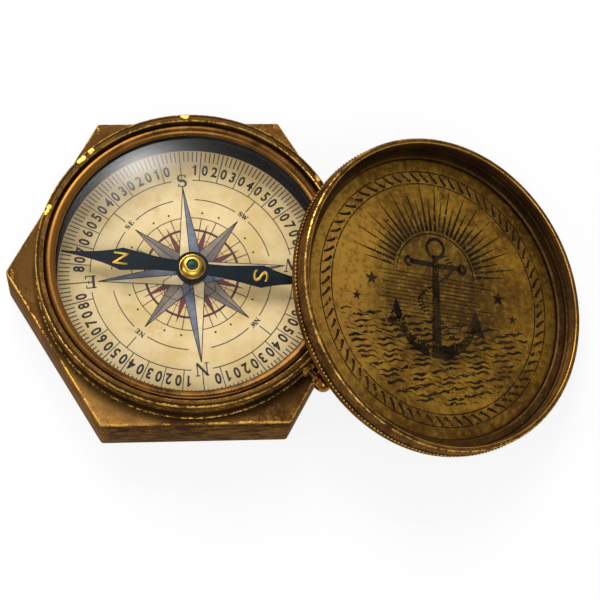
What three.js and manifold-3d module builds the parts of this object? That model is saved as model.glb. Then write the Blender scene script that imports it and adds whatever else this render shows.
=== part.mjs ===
// Magnetic compass: a hexagonal brass case with a glazed dial, a balanced needle, a knob that
// lifts the needle off its pivot, and a screw-on lid taken off and leaned against the case.
// Millimetres, +Z up, origin on the table under the centre of the dial.

import * as THREE from 'three';
import { mergeVertices } from 'three/addons/utils/BufferGeometryUtils.js';
import Module from 'manifold-3d';

// Clearances
const FIT_GAP = 0.3; // round a piece in its bore
const SIDE_GAP = 0.4; // beside the lever
const BUSH_FIT = 0.15; // round the bush and behind its flange
const TABLE_GAP = 0.05; // under the leaning lid's edge

// Needle, lying on the pivot
const NEEDLE_REACH = 30.7; // hub to tip
const NEEDLE_HUB_RADIUS = 4;
const NEEDLE_WAIST = 2.8; // width beside the hub
const NEEDLE_WIDEST = 5.8;
const NEEDLE_WIDEST_AT = 17.5; // from the hub
const NEEDLE_THICKNESS = 0.6;
const NEEDLE_HEADING = 171.5; // degrees from +X to the north tip
const NEEDLE_TIP_GAP = 0.7; // to the sleeve

// Needle's cap, washer and jewel
const CAP_RADIUS = 3.1;
const CAP_HEIGHT = 1.8; // above the needle
const CAP_BRIM = 0.5;
const CAP_BORE_RADIUS = 1.1;
const CAP_GLASS_GAP = 0.5;
const STEM_RADIUS = 2;
const RIVET_RADIUS = 2.6;
const RIVET_HEIGHT = 0.4;
const WASHER_RADIUS = 2.8;
const WASHER_THICKNESS = 0.7;
const JEWEL_RADIUS = 1.35;
const JEWEL_HEIGHT = 1.3;
const JEWEL_SINK = 0.1; // below the cap's top
const JEWEL_CUP_RADIUS = 0.8;
const JEWEL_CUP_DEPTH = 0.8;

// Pivot
const PIVOT_PIN_RADIUS = 0.5;
const PIVOT_POINT_LENGTH = 0.8;
const PIVOT_PIN_SOCKET = 2.4;
const POST_RADIUS = 1.5;
const POST_FOOT_RADIUS = 5;
const POST_FOOT_HEIGHT = 1;
const POST_RISE = 0.8; // above the dial

// Heights inside the case, from the table up
const COVER_THICKNESS = 1.8;
const CAVITY_HEIGHT = 9.8;
const DIAL_PLATE_THICKNESS = 0.9;
const CARD_THICKNESS = 0.3;
const CASE_RISE = 2.7; // case top above the dial
const GASKET_THICKNESS = 0.4;
const GLASS_THICKNESS = 2;
const RETAINER_HEIGHT = 1.7;
const RIM_RISE = 1; // ring's rim above the retaining ring

// Case and bottom cover
const CASE_SIDES = 6;
const CASE_SHOULDER = 1.5; // case beyond the ring, at the flats
const CASE_CHAMFER = 0.5;
const DIAL_LEDGE = 3.4;
const COVER_EDGE = 0.4; // left outside the countersinks
const SCREW_COUNT = 3;
const SCREW_RADIUS = 0.7;
const SCREW_HEAD_RADIUS = 1.3;
const SCREW_HEAD_HEIGHT = 0.8;
const SCREW_LENGTH = 5.4;
const SCREW_SINK = 0.1;
const SCREW_SLOT_WIDTH = 0.5;
const SCREW_SLOT_DEPTH = 0.45;
const SCREW_FIRST_ANGLE = 90;

// Threaded ring and what it holds
const RING_WALL = 1.8;
const THREAD_DEPTH = 0.3;
const THREAD_PITCH = 0.9;
const RING_THREAD_TURNS = 4;
const THREAD_LEAD = 0.8; // plain stretch above the thread
const RIM_CHAMFER = 0.3;
const RING_FOOT_SPREAD = 0.3;
const RING_FOOT_HEIGHT = 0.4;
const SPIGOT_WALL = 0.8;
const SPIGOT_DEPTH = 2.3;
const GASKET_WIDTH = 2.2;
const RETAINER_WIDTH = 2.9;
const RETAINER_CHAMFER = 0.4;
const RETAINER_SLOPE = 0.8; // fall of its top towards the glass
const SLEEVE_SKIN = 0.5; // left inside the lever's groove

// Needle lock: knob, plunger and lifting lever, along one radius
const LOCK_AZIMUTH = -45; // degrees from +X
const LOCK_TRAVEL = 1.2;
const KNOB_RADIUS = 2;
const KNOB_LENGTH = 4.4;
const KNOB_COLLAR_LENGTH = 0.9;
const KNOB_WAIST = 0.35; // depth of the groove behind the head
const KNOB_NECK_GAP = 0.6; // left between knob and bush when pushed in
const PLUNGER_RADIUS = 0.7;
const PLUNGER_TIP_RADIUS = 0.2;
const PLUNGER_DEPTH = 2.4; // in the knob
const BUSH_WALL = 0.3;
const BUSH_FLANGE_RADIUS = 1.7;
const BUSH_FLANGE_LENGTH = 0.9;
const LEVER_FULCRUM = 16.5; // from the pivot
const LEVER_WIDTH = 3.2;
const LEVER_THICKNESS = 1;
const LEVER_DROP = 3; // middle of the lever below the dial plate
const LEVER_BOSS_RADIUS = 1.7;
const LEVER_PIN_RADIUS = 0.6;
const TAB_THICKNESS = 0.8;
const TAB_GAP = 0.5;
const TAB_SLOPE = 0.55; // fall of its top towards the plunger
const TUBE_BORE_RADIUS = 2.3;
const TUBE_WALL = 0.8;
const TUBE_HUB_GAP = 0.3; // left to the rivet when raised
const EYE_LAP = 1.1; // lever's eye beyond the tube
const BRACKET_WALL = 0.8;
const BRACKET_LENGTH = 6;
const SPRING_THICKNESS = 0.4;
const SPRING_GAP = 0.6; // below the lever
const SPRING_BRACKET_GAP = 1;
const SPRING_WALL_GAP = 1.3; // foot to the cavity's wall
const SPRING_PAD_SHARE = 0.22; // of its length
const SPRING_FOOT_SHARE = 0.45;

// Lid, and how it leans
const LID_WALL = 1.6;
const LID_SKIRT = 3.9; // ledge to rim
const LID_LEDGE_WIDTH = 2.3;
const LID_LEDGE_THICKNESS = 0.9;
const LID_DISC_THICKNESS = 1.2;
const LID_DISC_RIM = 1.3; // ring left outside the disc
const LID_CHAMFER = 0.4;
const LID_THREAD_TURNS = 3;
const BEAD_RISE = 0.4;
const BEAD_WIDTH = 1.2;
const BEAD_BASE = 1.7; // beaded band above the lid's back
const LID_LEAN = 23.5; // degrees
const LID_LEAN_AZIMUTH = -8; // degrees from +X

// Facets of large and small round pieces
const LARGE_FACETS = 60;
const SMALL_FACETS = 20;
const ARC_STEPS = 5;

const DEGREE = Math.PI / 180;
const BEYOND = 1; // how far a cutter runs past the face it cuts

// Heights worked out from the stack
const dialSeat = COVER_THICKNESS + CAVITY_HEIGHT;
const plateTop = dialSeat + DIAL_PLATE_THICKNESS;
const cardTop = plateTop + CARD_THICKNESS;
const caseTop = cardTop + CASE_RISE;
const lockHeight = caseTop + Math.max(KNOB_RADIUS, RING_FOOT_HEIGHT + BUSH_FLANGE_RADIUS) + FIT_GAP;
const sleeveTop = lockHeight + PLUNGER_RADIUS + FIT_GAP;
const glassBottom = sleeveTop + GASKET_THICKNESS;
const glassTop = glassBottom + GLASS_THICKNESS;
const retainerTop = glassTop + RETAINER_HEIGHT;
const rimTop = retainerTop + RIM_RISE;
const capTop = glassBottom - CAP_GLASS_GAP;
const needleTop = capTop - CAP_HEIGHT;
const needleBottom = needleTop - NEEDLE_THICKNESS;
const washerBottom = needleBottom - WASHER_THICKNESS;
const hubBottom = washerBottom - RIVET_HEIGHT;
const jewelTop = capTop - JEWEL_SINK;
const jewelBottom = jewelTop - JEWEL_HEIGHT;
const pivotTip = jewelBottom + JEWEL_CUP_DEPTH - FIT_GAP;
const postTop = cardTop + POST_RISE;
const leverMiddle = dialSeat - LEVER_DROP;
const leverBottom = leverMiddle - LEVER_THICKNESS / 2;
const leverTop = leverMiddle + LEVER_THICKNESS / 2;

// Radii worked out from the needle outwards
const sleeveInner = NEEDLE_REACH + NEEDLE_TIP_GAP;
const tabInner = sleeveInner + SLEEVE_SKIN + TAB_GAP;
const tabOuter = tabInner + TAB_THICKNESS;
const liftAngle = LOCK_TRAVEL / ((tabInner + tabOuter) / 2 - LEVER_FULCRUM);
const tabSwing = (lockHeight - leverMiddle) * liftAngle;
const sleeveOuter = tabOuter + tabSwing;
const boreRadius = sleeveOuter + FIT_GAP;
const ringRadius = boreRadius + RING_WALL;
const bandRadius = ringRadius - THREAD_DEPTH;
const footRadius = ringRadius + RING_FOOT_SPREAD;
const spigotRadius = boreRadius + SPIGOT_WALL;
const rimEdgeRadius = ringRadius - RIM_CHAMFER;
const caseInradius = ringRadius + CASE_SHOULDER;
const cavityRadius = boreRadius - DIAL_LEDGE;
const screwCircle = cavityRadius + SCREW_HEAD_RADIUS + FIT_GAP + COVER_EDGE;
const coverRadius = screwCircle + SCREW_HEAD_RADIUS + FIT_GAP + COVER_EDGE;
const bushBore = PLUNGER_RADIUS + FIT_GAP;
const bushRadius = bushBore + BUSH_WALL;
const bushFlangeStart = ringRadius + BUSH_FIT;
const bushFlangeEnd = bushFlangeStart + BUSH_FLANGE_LENGTH;
const knobStart = bushFlangeEnd + LOCK_TRAVEL + KNOB_NECK_GAP;
const tubeRadius = TUBE_BORE_RADIUS + TUBE_WALL;
const eyeRadius = tubeRadius + EYE_LAP;
const tubeTilt = (tubeRadius + LEVER_FULCRUM) * liftAngle;
const tubeTop = hubBottom - tubeTilt - TUBE_HUB_GAP;
const dialHoleRadius = tubeRadius + (tubeTop - leverMiddle) * liftAngle + SIDE_GAP;
const lidBore = ringRadius + FIT_GAP;
const lidRadius = lidBore + LID_WALL;
const lidLedgeRadius = lidBore - LID_LEDGE_WIDTH;
const lidDiscRadius = lidRadius - LID_DISC_RIM;
const lidLedgeBottom = LID_DISC_THICKNESS + FIT_GAP;
const lidLedgeTop = lidLedgeBottom + LID_LEDGE_THICKNESS;
const lidHeight = lidLedgeTop + LID_SKIRT;

// Finishes
const finish = (color, roughness, metalness) =>
  new THREE.MeshStandardMaterial({ color, roughness, metalness });
const agedBrass = finish(0x6b4d22, 0.45, 1);
const warmBrass = finish(0x9a6420, 0.35, 1);
const brightBrass = finish(0xd9a83c, 0.25, 1);
const lidBrass = finish(0x6e5520, 0.5, 1);
const blackened = finish(0x1c1b1a, 0.6, 0.4);
const bluedSteel = finish(0x1d2a3a, 0.3, 1);
const plainSteel = finish(0x9a9a98, 0.35, 1);
const cardStock = finish(0xd9cca6, 0.8, 0);
const rubber = finish(0x151515, 0.9, 0);
const greenGlass = finish(0x0b4a34, 0.1, 0);
const clearGlass = new THREE.MeshStandardMaterial({
  color: 0xe8f0f0, roughness: 0.03, metalness: 0, transparent: true, opacity: 0.25,
});

const wasm = await Module();
wasm.setup();

// Joins the vertices that meet and leaves out triangles that have collapsed onto the axis.
function weld(geometry) {
  geometry.deleteAttribute('normal');
  geometry.deleteAttribute('uv');
  const welded = mergeVertices(geometry);
  const corners = welded.index.array;
  const kept = [];
  for (let i = 0; i < corners.length; i += 3) {
    const [a, b, c] = corners.slice(i, i + 3);
    if (a !== b && b !== c && c !== a) kept.push(a, b, c);
  }
  welded.setIndex(kept);
  return welded;
}

function toSolid(geometry) {
  const welded = weld(geometry.clone());
  return new wasm.Manifold(new wasm.Mesh({
    numProp: 3,
    vertProperties: new Float32Array(welded.attributes.position.array),
    triVerts: new Uint32Array(welded.index.array),
  }));
}

function toGeometry(solid) {
  const { vertProperties, triVerts } = solid.getMesh();
  const geometry = new THREE.BufferGeometry();
  geometry.setAttribute('position', new THREE.BufferAttribute(vertProperties, 3));
  geometry.setIndex(new THREE.BufferAttribute(triVerts, 1));
  return geometry;
}

function cut(geometry, ...cutters) {
  return toGeometry(cutters.reduce((rest, cutter) => rest.subtract(toSolid(cutter)), toSolid(geometry)));
}

function join(first, ...others) {
  return toGeometry(others.reduce((sum, other) => sum.add(toSolid(other)), toSolid(first)));
}

// Turned piece about +Z from [radius, height] points, counter-clockwise. A profile that doesn't
// start on the axis closes on itself.
function turned(profile, facets = LARGE_FACETS) {
  const points = profile.map(([radius, height]) => new THREE.Vector2(radius, height));
  if (points[0].x > 0) points.push(points[0].clone());
  return weld(new THREE.LatheGeometry(points, facets).rotateX(Math.PI / 2));
}

const disc = (radius, bottom, top, facets) =>
  turned([[0, bottom], [radius, bottom], [radius, top], [0, top]], facets);

const tube = (inner, outer, bottom, top, facets) =>
  turned([[inner, bottom], [outer, bottom], [outer, top], [inner, top]], facets);

// The same about +X, with points of [radius, distance], raised to the lock's height.
const turnedAlong = (profile) =>
  turned(profile, SMALL_FACETS).rotateY(Math.PI / 2).translate(0, 0, lockHeight);

const block = ([x0, x1], [y0, y1], [z0, z1]) =>
  new THREE.BoxGeometry(x1 - x0, y1 - y0, z1 - z0)
    .translate((x0 + x1) / 2, (y0 + y1) / 2, (z0 + z1) / 2);

const rodAcross = (radius, length, x, z) =>
  new THREE.CylinderGeometry(radius, radius, length, SMALL_FACETS).translate(x, 0, z);

const outline = (points) => new THREE.Shape(points.map(([x, y]) => new THREE.Vector2(x, y)));

// Strip with its side view in [x, z] points, of the given width across Y.
const stripAcross = (points, width) =>
  new THREE.ExtrudeGeometry(outline(points), { depth: width, bevelEnabled: false })
    .rotateX(Math.PI / 2).translate(0, width / 2, 0);

// Zigzag of a thread in section: [radius, height] points from start, a step for each half pitch.
function threadPoints(crest, root, start, step, turns) {
  const points = [];
  for (let half = 0; half <= 2 * turns; half += 1) {
    points.push([half % 2 ? root : crest, start + (half * step) / 2]);
  }
  return points;
}

const atLock = (geometry) => geometry.rotateZ(LOCK_AZIMUTH * DEGREE);

function node(name, geometry, material) {
  const mesh = new THREE.Mesh(geometry, material);
  mesh.name = name;
  return mesh;
}

// Hexagonal case with a stepped bore, a slot for the lever's tab and pilot holes for the screws.
function caseBody() {
  const reach = caseInradius / Math.cos(Math.PI / CASE_SIDES);
  const corners = Array.from({ length: CASE_SIDES }, (_, k) => {
    const angle = (k * 2 * Math.PI) / CASE_SIDES;
    return [reach * Math.cos(angle), reach * Math.sin(angle)];
  });
  const hexagon = new THREE.ExtrudeGeometry(outline(corners), {
    depth: caseTop - 2 * CASE_CHAMFER,
    bevelThickness: CASE_CHAMFER,
    bevelSize: CASE_CHAMFER,
    bevelOffset: -CASE_CHAMFER,
    bevelSegments: 1,
  }).translate(0, 0, CASE_CHAMFER);
  const spigotSeat = caseTop - SPIGOT_DEPTH - FIT_GAP;
  const bore = turned([
    [0, -BEYOND],
    [coverRadius + FIT_GAP, -BEYOND],
    [coverRadius + FIT_GAP, COVER_THICKNESS],
    [cavityRadius, COVER_THICKNESS],
    [cavityRadius, dialSeat],
    [boreRadius, dialSeat],
    [boreRadius, spigotSeat],
    [spigotRadius + FIT_GAP, spigotSeat],
    [spigotRadius + FIT_GAP, caseTop + BEYOND],
    [0, caseTop + BEYOND],
  ]);
  const slotSide = LEVER_WIDTH / 2 + SIDE_GAP;
  const slot = atLock(block(
    [cavityRadius - BEYOND, tabOuter + tabSwing],
    [-slotSide, slotSide],
    [leverBottom - LOCK_TRAVEL - SIDE_GAP, dialSeat + BEYOND / 2],
  ));
  const pilots = screwAngles().map((angle) => disc(
    SCREW_RADIUS + FIT_GAP, COVER_THICKNESS - BEYOND, SCREW_SINK + SCREW_LENGTH + FIT_GAP, SMALL_FACETS,
  ).translate(screwCircle, 0, 0).rotateZ(angle));
  return cut(hexagon, bore, slot, ...pilots);
}

function screwAngles() {
  return Array.from({ length: SCREW_COUNT }, (_, k) =>
    (SCREW_FIRST_ANGLE + (k * 360) / SCREW_COUNT) * DEGREE);
}

// Bottom cover, countersunk for its screws.
function bottomCover() {
  const sinks = screwAngles().map((angle) => turned([
    [0, -BEYOND],
    [SCREW_HEAD_RADIUS + FIT_GAP, -BEYOND],
    [SCREW_HEAD_RADIUS + FIT_GAP, SCREW_SINK],
    [SCREW_RADIUS + FIT_GAP, SCREW_SINK + SCREW_HEAD_HEIGHT],
    [SCREW_RADIUS + FIT_GAP, COVER_THICKNESS + BEYOND],
    [0, COVER_THICKNESS + BEYOND],
  ], SMALL_FACETS).translate(screwCircle, 0, 0).rotateZ(angle));
  return cut(disc(coverRadius, 0, COVER_THICKNESS), ...sinks);
}

function bottomScrew(angle) {
  const screw = turned([
    [0, SCREW_SINK],
    [SCREW_HEAD_RADIUS, SCREW_SINK],
    [SCREW_RADIUS, SCREW_SINK + SCREW_HEAD_HEIGHT],
    [SCREW_RADIUS, SCREW_SINK + SCREW_LENGTH],
    [0, SCREW_SINK + SCREW_LENGTH],
  ], SMALL_FACETS);
  const slot = block(
    [-SCREW_HEAD_RADIUS - BEYOND, SCREW_HEAD_RADIUS + BEYOND],
    [-SCREW_SLOT_WIDTH / 2, SCREW_SLOT_WIDTH / 2],
    [SCREW_SINK - BEYOND, SCREW_SINK + SCREW_SLOT_DEPTH],
  );
  return cut(screw, slot).translate(screwCircle, 0, 0).rotateZ(angle);
}

// Raised ring: a spigot in the case, a foot on its top, a plain band, the lid's thread and a rim.
function threadedRing() {
  const threadTop = rimTop - THREAD_LEAD;
  const threadBottom = threadTop - RING_THREAD_TURNS * THREAD_PITCH;
  const ring = turned([
    [boreRadius, caseTop - SPIGOT_DEPTH],
    [spigotRadius, caseTop - SPIGOT_DEPTH],
    [spigotRadius, caseTop],
    [footRadius, caseTop],
    [footRadius, caseTop + RING_FOOT_HEIGHT],
    [bandRadius, caseTop + RING_FOOT_HEIGHT],
    [bandRadius, threadBottom - THREAD_PITCH / 2],
    ...threadPoints(ringRadius, bandRadius, threadBottom, THREAD_PITCH, RING_THREAD_TURNS),
    [ringRadius, rimTop - RIM_CHAMFER],
    [rimEdgeRadius, rimTop],
    [boreRadius + RIM_CHAMFER, rimTop],
    [boreRadius, rimTop - RIM_CHAMFER],
  ]);
  const bushHole = turnedAlong([
    [0, boreRadius - BEYOND],
    [bushRadius + BUSH_FIT, boreRadius - BEYOND],
    [bushRadius + BUSH_FIT, ringRadius + BEYOND],
    [0, ringRadius + BEYOND],
  ]);
  return cut(ring, atLock(bushHole));
}

// Retaining ring over the glass, its top falling towards the dial.
function retainingRing() {
  const outer = boreRadius - FIT_GAP;
  const inner = outer - RETAINER_WIDTH;
  return turned([
    [inner, glassTop],
    [outer, glassTop],
    [outer, retainerTop - RETAINER_CHAMFER],
    [outer - RETAINER_CHAMFER, retainerTop],
    [(inner + outer) / 2, retainerTop],
    [inner, retainerTop - RETAINER_SLOPE],
  ]);
}

// Dark sleeve from the dial to the glass, grooved behind for the lever's tab.
function innerSleeve() {
  const grooveSide = LEVER_WIDTH / 2 + SIDE_GAP;
  const groove = block(
    [sleeveInner + SLEEVE_SKIN, ringRadius],
    [-grooveSide, grooveSide],
    [cardTop - BEYOND, sleeveTop + BEYOND],
  );
  return cut(tube(sleeveInner, sleeveOuter, cardTop, sleeveTop), atLock(groove));
}

// Dial plate or card: a disc with a hole for the lifting tube and a notch for the lever's tab.
function dialLayer(bottom, top) {
  const notchSide = LEVER_WIDTH / 2 + SIDE_GAP;
  const notch = block(
    [tabInner - TAB_GAP, ringRadius],
    [-notchSide, notchSide],
    [bottom - BEYOND, top + BEYOND],
  );
  return cut(tube(dialHoleRadius, sleeveOuter, bottom, top), atLock(notch));
}

// Post that carries the pivot, standing on the bottom cover, with a socket for the pin.
function pivotPost() {
  const socket = PIVOT_PIN_RADIUS + FIT_GAP;
  return turned([
    [0, COVER_THICKNESS],
    [POST_FOOT_RADIUS, COVER_THICKNESS],
    [POST_FOOT_RADIUS, COVER_THICKNESS + POST_FOOT_HEIGHT],
    [POST_RADIUS, COVER_THICKNESS + 2 * POST_FOOT_HEIGHT],
    [POST_RADIUS, postTop],
    [socket, postTop],
    [socket, postTop - PIVOT_PIN_SOCKET],
    [0, postTop - PIVOT_PIN_SOCKET],
  ], SMALL_FACETS);
}

const pivotPin = () => turned([
  [0, postTop - PIVOT_PIN_SOCKET + FIT_GAP],
  [PIVOT_PIN_RADIUS, postTop - PIVOT_PIN_SOCKET + FIT_GAP],
  [PIVOT_PIN_RADIUS, pivotTip - PIVOT_POINT_LENGTH],
  [0, pivotTip],
], SMALL_FACETS);

// Needle blank: a round hub with two lance-shaped arms and a hole for the cap's stem.
function needleBlank() {
  const half = NEEDLE_WAIST / 2;
  const shoulder = Math.asin(half / NEEDLE_HUB_RADIUS);
  const shape = new THREE.Shape();
  shape.moveTo(NEEDLE_REACH, 0);
  shape.lineTo(NEEDLE_WIDEST_AT, NEEDLE_WIDEST / 2);
  shape.absarc(0, 0, NEEDLE_HUB_RADIUS, shoulder, Math.PI - shoulder, false);
  shape.lineTo(-NEEDLE_WIDEST_AT, NEEDLE_WIDEST / 2);
  shape.lineTo(-NEEDLE_REACH, 0);
  shape.lineTo(-NEEDLE_WIDEST_AT, -NEEDLE_WIDEST / 2);
  shape.absarc(0, 0, NEEDLE_HUB_RADIUS, Math.PI + shoulder, 2 * Math.PI - shoulder, false);
  shape.lineTo(NEEDLE_WIDEST_AT, -NEEDLE_WIDEST / 2);
  shape.closePath();
  shape.holes.push(new THREE.Path().absarc(0, 0, STEM_RADIUS + FIT_GAP, 0, 2 * Math.PI, true));
  return new THREE.ExtrudeGeometry(shape, {
    depth: NEEDLE_THICKNESS, bevelEnabled: false, curveSegments: SMALL_FACETS / 2,
  }).translate(0, 0, needleBottom);
}

// Domed cap riveted through the needle and its washer, bored for the jewel and the pivot.
function needleCap() {
  const jewelBore = JEWEL_RADIUS + FIT_GAP;
  const brimTop = needleTop + CAP_BRIM;
  const dome = Array.from({ length: ARC_STEPS + 1 }, (_, step) => {
    const turn = (step / ARC_STEPS) * 90 * DEGREE;
    const radius = jewelBore + (CAP_RADIUS - jewelBore) * Math.cos(turn);
    return [radius, brimTop + (capTop - brimTop) * Math.sin(turn)];
  });
  return turned([
    [CAP_BORE_RADIUS, hubBottom],
    [RIVET_RADIUS, hubBottom],
    [RIVET_RADIUS, washerBottom],
    [STEM_RADIUS, washerBottom],
    [STEM_RADIUS, needleTop],
    [CAP_RADIUS, needleTop],
    ...dome,
    [jewelBore, jewelBottom],
    [CAP_BORE_RADIUS, jewelBottom],
  ], SMALL_FACETS);
}

const capJewel = () => turned([
  [0, jewelBottom + JEWEL_CUP_DEPTH],
  [JEWEL_CUP_RADIUS, jewelBottom],
  [JEWEL_RADIUS, jewelBottom],
  [JEWEL_RADIUS, jewelTop],
  [0, jewelTop],
], SMALL_FACETS);

// Bush through the ring's wall, flanged outside.
const lockBush = () => turnedAlong([
  [bushBore, boreRadius + FIT_GAP],
  [bushRadius, boreRadius + FIT_GAP],
  [bushRadius, bushFlangeStart],
  [BUSH_FLANGE_RADIUS, bushFlangeStart],
  [BUSH_FLANGE_RADIUS, bushFlangeEnd],
  [bushBore, bushFlangeEnd],
]);

// Plunger with a coned nose in front of the lever's tab and its tail in the knob.
function lockPlunger() {
  const noseTip = tabOuter + FIT_GAP;
  const noseLength = PLUNGER_RADIUS - PLUNGER_TIP_RADIUS;
  return turnedAlong([
    [0, noseTip],
    [PLUNGER_TIP_RADIUS, noseTip],
    [PLUNGER_RADIUS, noseTip + noseLength],
    [PLUNGER_RADIUS, knobStart + PLUNGER_DEPTH],
    [0, knobStart + PLUNGER_DEPTH],
  ]);
}

// Knob: a collar, a groove and a round-ended head, with a blind hole for the plunger.
function lockKnob() {
  const hole = PLUNGER_RADIUS + FIT_GAP;
  const knobEnd = knobStart + KNOB_LENGTH;
  const collarEnd = knobStart + KNOB_COLLAR_LENGTH;
  const head = Array.from({ length: ARC_STEPS + 1 }, (_, step) => {
    const turn = (step / ARC_STEPS) * 90 * DEGREE;
    return [KNOB_RADIUS * Math.cos(turn), knobEnd - KNOB_RADIUS * (1 - Math.sin(turn))];
  });
  return turnedAlong([
    [0, knobStart + PLUNGER_DEPTH + FIT_GAP],
    [hole, knobStart + PLUNGER_DEPTH + FIT_GAP],
    [hole, knobStart],
    [KNOB_RADIUS - KNOB_WAIST, knobStart],
    [KNOB_RADIUS - KNOB_WAIST, collarEnd],
    ...head.slice(0, -1),
    [0, knobEnd],
  ]);
}

// Lever under the dial: an eye round the post, a boss on the fulcrum and a tab bent up at its
// outer end, sloped on top where the plunger's nose presses it down.
function lifterLever() {
  const arm = stripAcross([
    [TUBE_BORE_RADIUS, leverBottom],
    [tabOuter, leverBottom],
    [tabOuter, lockHeight - TAB_SLOPE],
    [tabInner, lockHeight],
    [tabInner, leverTop],
    [TUBE_BORE_RADIUS, leverTop],
  ], LEVER_WIDTH);
  const boss = rodAcross(LEVER_BOSS_RADIUS, LEVER_WIDTH, LEVER_FULCRUM, leverMiddle);
  const eye = disc(eyeRadius, leverBottom, leverTop, SMALL_FACETS);
  const eyeHole = disc(TUBE_BORE_RADIUS, leverBottom - BEYOND, leverTop + BEYOND, SMALL_FACETS);
  const pinHole = rodAcross(LEVER_PIN_RADIUS + FIT_GAP, LEVER_WIDTH + BEYOND, LEVER_FULCRUM, leverMiddle);
  return cut(join(arm, boss, eye), eyeHole, pinHole);
}

const earInside = LEVER_WIDTH / 2 + SIDE_GAP;
const earOutside = earInside + BRACKET_WALL;

// Folded channel on the bottom cover, its two sides carrying the lever's pin.
function lifterBracket() {
  const sideTop = leverMiddle + LEVER_PIN_RADIUS + FIT_GAP + BRACKET_WALL;
  const floorTop = COVER_THICKNESS + BRACKET_WALL;
  const section = outline([
    [-earOutside, COVER_THICKNESS],
    [earOutside, COVER_THICKNESS],
    [earOutside, sideTop],
    [earInside, sideTop],
    [earInside, floorTop],
    [-earInside, floorTop],
    [-earInside, sideTop],
    [-earOutside, sideTop],
  ]);
  const channel = new THREE.ExtrudeGeometry(section, { depth: BRACKET_LENGTH, bevelEnabled: false })
    .rotateX(Math.PI / 2).rotateZ(Math.PI / 2).translate(LEVER_FULCRUM - BRACKET_LENGTH / 2, 0, 0);
  const pinHole = rodAcross(LEVER_PIN_RADIUS + FIT_GAP, 2 * earOutside + BEYOND, LEVER_FULCRUM, leverMiddle);
  return cut(channel, pinHole);
}

// Leaf spring on the bottom cover, under the lever's outer arm.
function lifterSpring() {
  const padTop = leverBottom - SPRING_GAP;
  const padStart = LEVER_FULCRUM + BRACKET_LENGTH / 2 + SPRING_BRACKET_GAP;
  const footEnd = cavityRadius - SPRING_WALL_GAP;
  const padEnd = padStart + (footEnd - padStart) * SPRING_PAD_SHARE;
  const footStart = footEnd - (footEnd - padStart) * SPRING_FOOT_SHARE;
  return stripAcross([
    [footEnd, COVER_THICKNESS],
    [footEnd, COVER_THICKNESS + SPRING_THICKNESS],
    [footStart + SPRING_THICKNESS, COVER_THICKNESS + SPRING_THICKNESS],
    [padEnd, padTop],
    [padStart, padTop],
    [padStart, padTop - SPRING_THICKNESS],
    [padEnd - SPRING_THICKNESS, padTop - SPRING_THICKNESS],
    [footStart, COVER_THICKNESS],
  ], LEVER_WIDTH);
}

// Lid's ring about its own +Z, back down: a rabbet for the disc, the beaded band, the rim, the
// thread inside and the ledge that meets the case's rim.
function lidRing() {
  const rabbet = lidDiscRadius + FIT_GAP;
  const root = lidBore + THREAD_DEPTH;
  const threadStart = lidHeight - LID_CHAMFER;
  return turned([
    [rabbet, 0],
    [lidRadius - LID_CHAMFER, 0],
    [lidRadius, LID_CHAMFER],
    [lidRadius, BEAD_BASE],
    [lidRadius + BEAD_RISE, BEAD_BASE + BEAD_RISE],
    [lidRadius + BEAD_RISE, BEAD_BASE + BEAD_WIDTH - BEAD_RISE],
    [lidRadius, BEAD_BASE + BEAD_WIDTH],
    [lidRadius, lidHeight - LID_CHAMFER],
    [lidRadius - LID_CHAMFER, lidHeight],
    [lidBore + LID_CHAMFER, lidHeight],
    ...threadPoints(lidBore, root, threadStart, -THREAD_PITCH, LID_THREAD_TURNS),
    [lidBore, lidLedgeTop],
    [lidLedgeRadius, lidLedgeTop],
    [lidLedgeRadius, lidLedgeBottom],
    [rabbet, lidLedgeBottom],
  ]);
}

const lidDisc = () => disc(lidDiscRadius, 0, LID_DISC_THICKNESS);

const needleGroup = new THREE.Group();
needleGroup.rotation.z = NEEDLE_HEADING * DEGREE;
needleGroup.add(
  node('needle', needleBlank(), bluedSteel),
  node('needle_washer', tube(STEM_RADIUS + FIT_GAP, WASHER_RADIUS, washerBottom, needleBottom, SMALL_FACETS),
    bluedSteel),
  node('needle_cap', needleCap(), brightBrass),
  node('cap_jewel', capJewel(), greenGlass),
);

const lockGroup = new THREE.Group();
lockGroup.rotation.z = LOCK_AZIMUTH * DEGREE;
lockGroup.add(
  node('lock_bush', lockBush(), agedBrass),
  node('lock_plunger', lockPlunger(), plainSteel),
  node('lock_knob', lockKnob(), brightBrass),
  node('lifter_lever', lifterLever(), warmBrass),
  node('lifter_tube', tube(TUBE_BORE_RADIUS, tubeRadius, leverTop, tubeTop, SMALL_FACETS), warmBrass),
  node('lifter_bracket', lifterBracket(), warmBrass),
  node('lifter_pin', rodAcross(LEVER_PIN_RADIUS, 2 * earOutside, LEVER_FULCRUM, leverMiddle), plainSteel),
  node('lifter_spring', lifterSpring(), plainSteel),
);

// The lid's back leans on the rim's outer edge, and its lower edge stands on the table.
const lean = LID_LEAN * DEGREE;
const leanAzimuth = LID_LEAN_AZIMUTH * DEGREE;
const lidBackHeight = (lidRadius - LID_CHAMFER) * Math.sin(lean) + TABLE_GAP;
const lidDistance = rimEdgeRadius
  + ((rimTop - lidBackHeight) * Math.cos(lean) + FIT_GAP) / Math.sin(lean);
const lidGroup = new THREE.Group();
lidGroup.rotation.set(0, lean, leanAzimuth, 'ZYX');
lidGroup.position.set(
  lidDistance * Math.cos(leanAzimuth),
  lidDistance * Math.sin(leanAzimuth),
  lidBackHeight,
);
lidGroup.add(
  node('lid_ring', lidRing(), agedBrass),
  node('lid_disc', lidDisc(), lidBrass),
);

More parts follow.
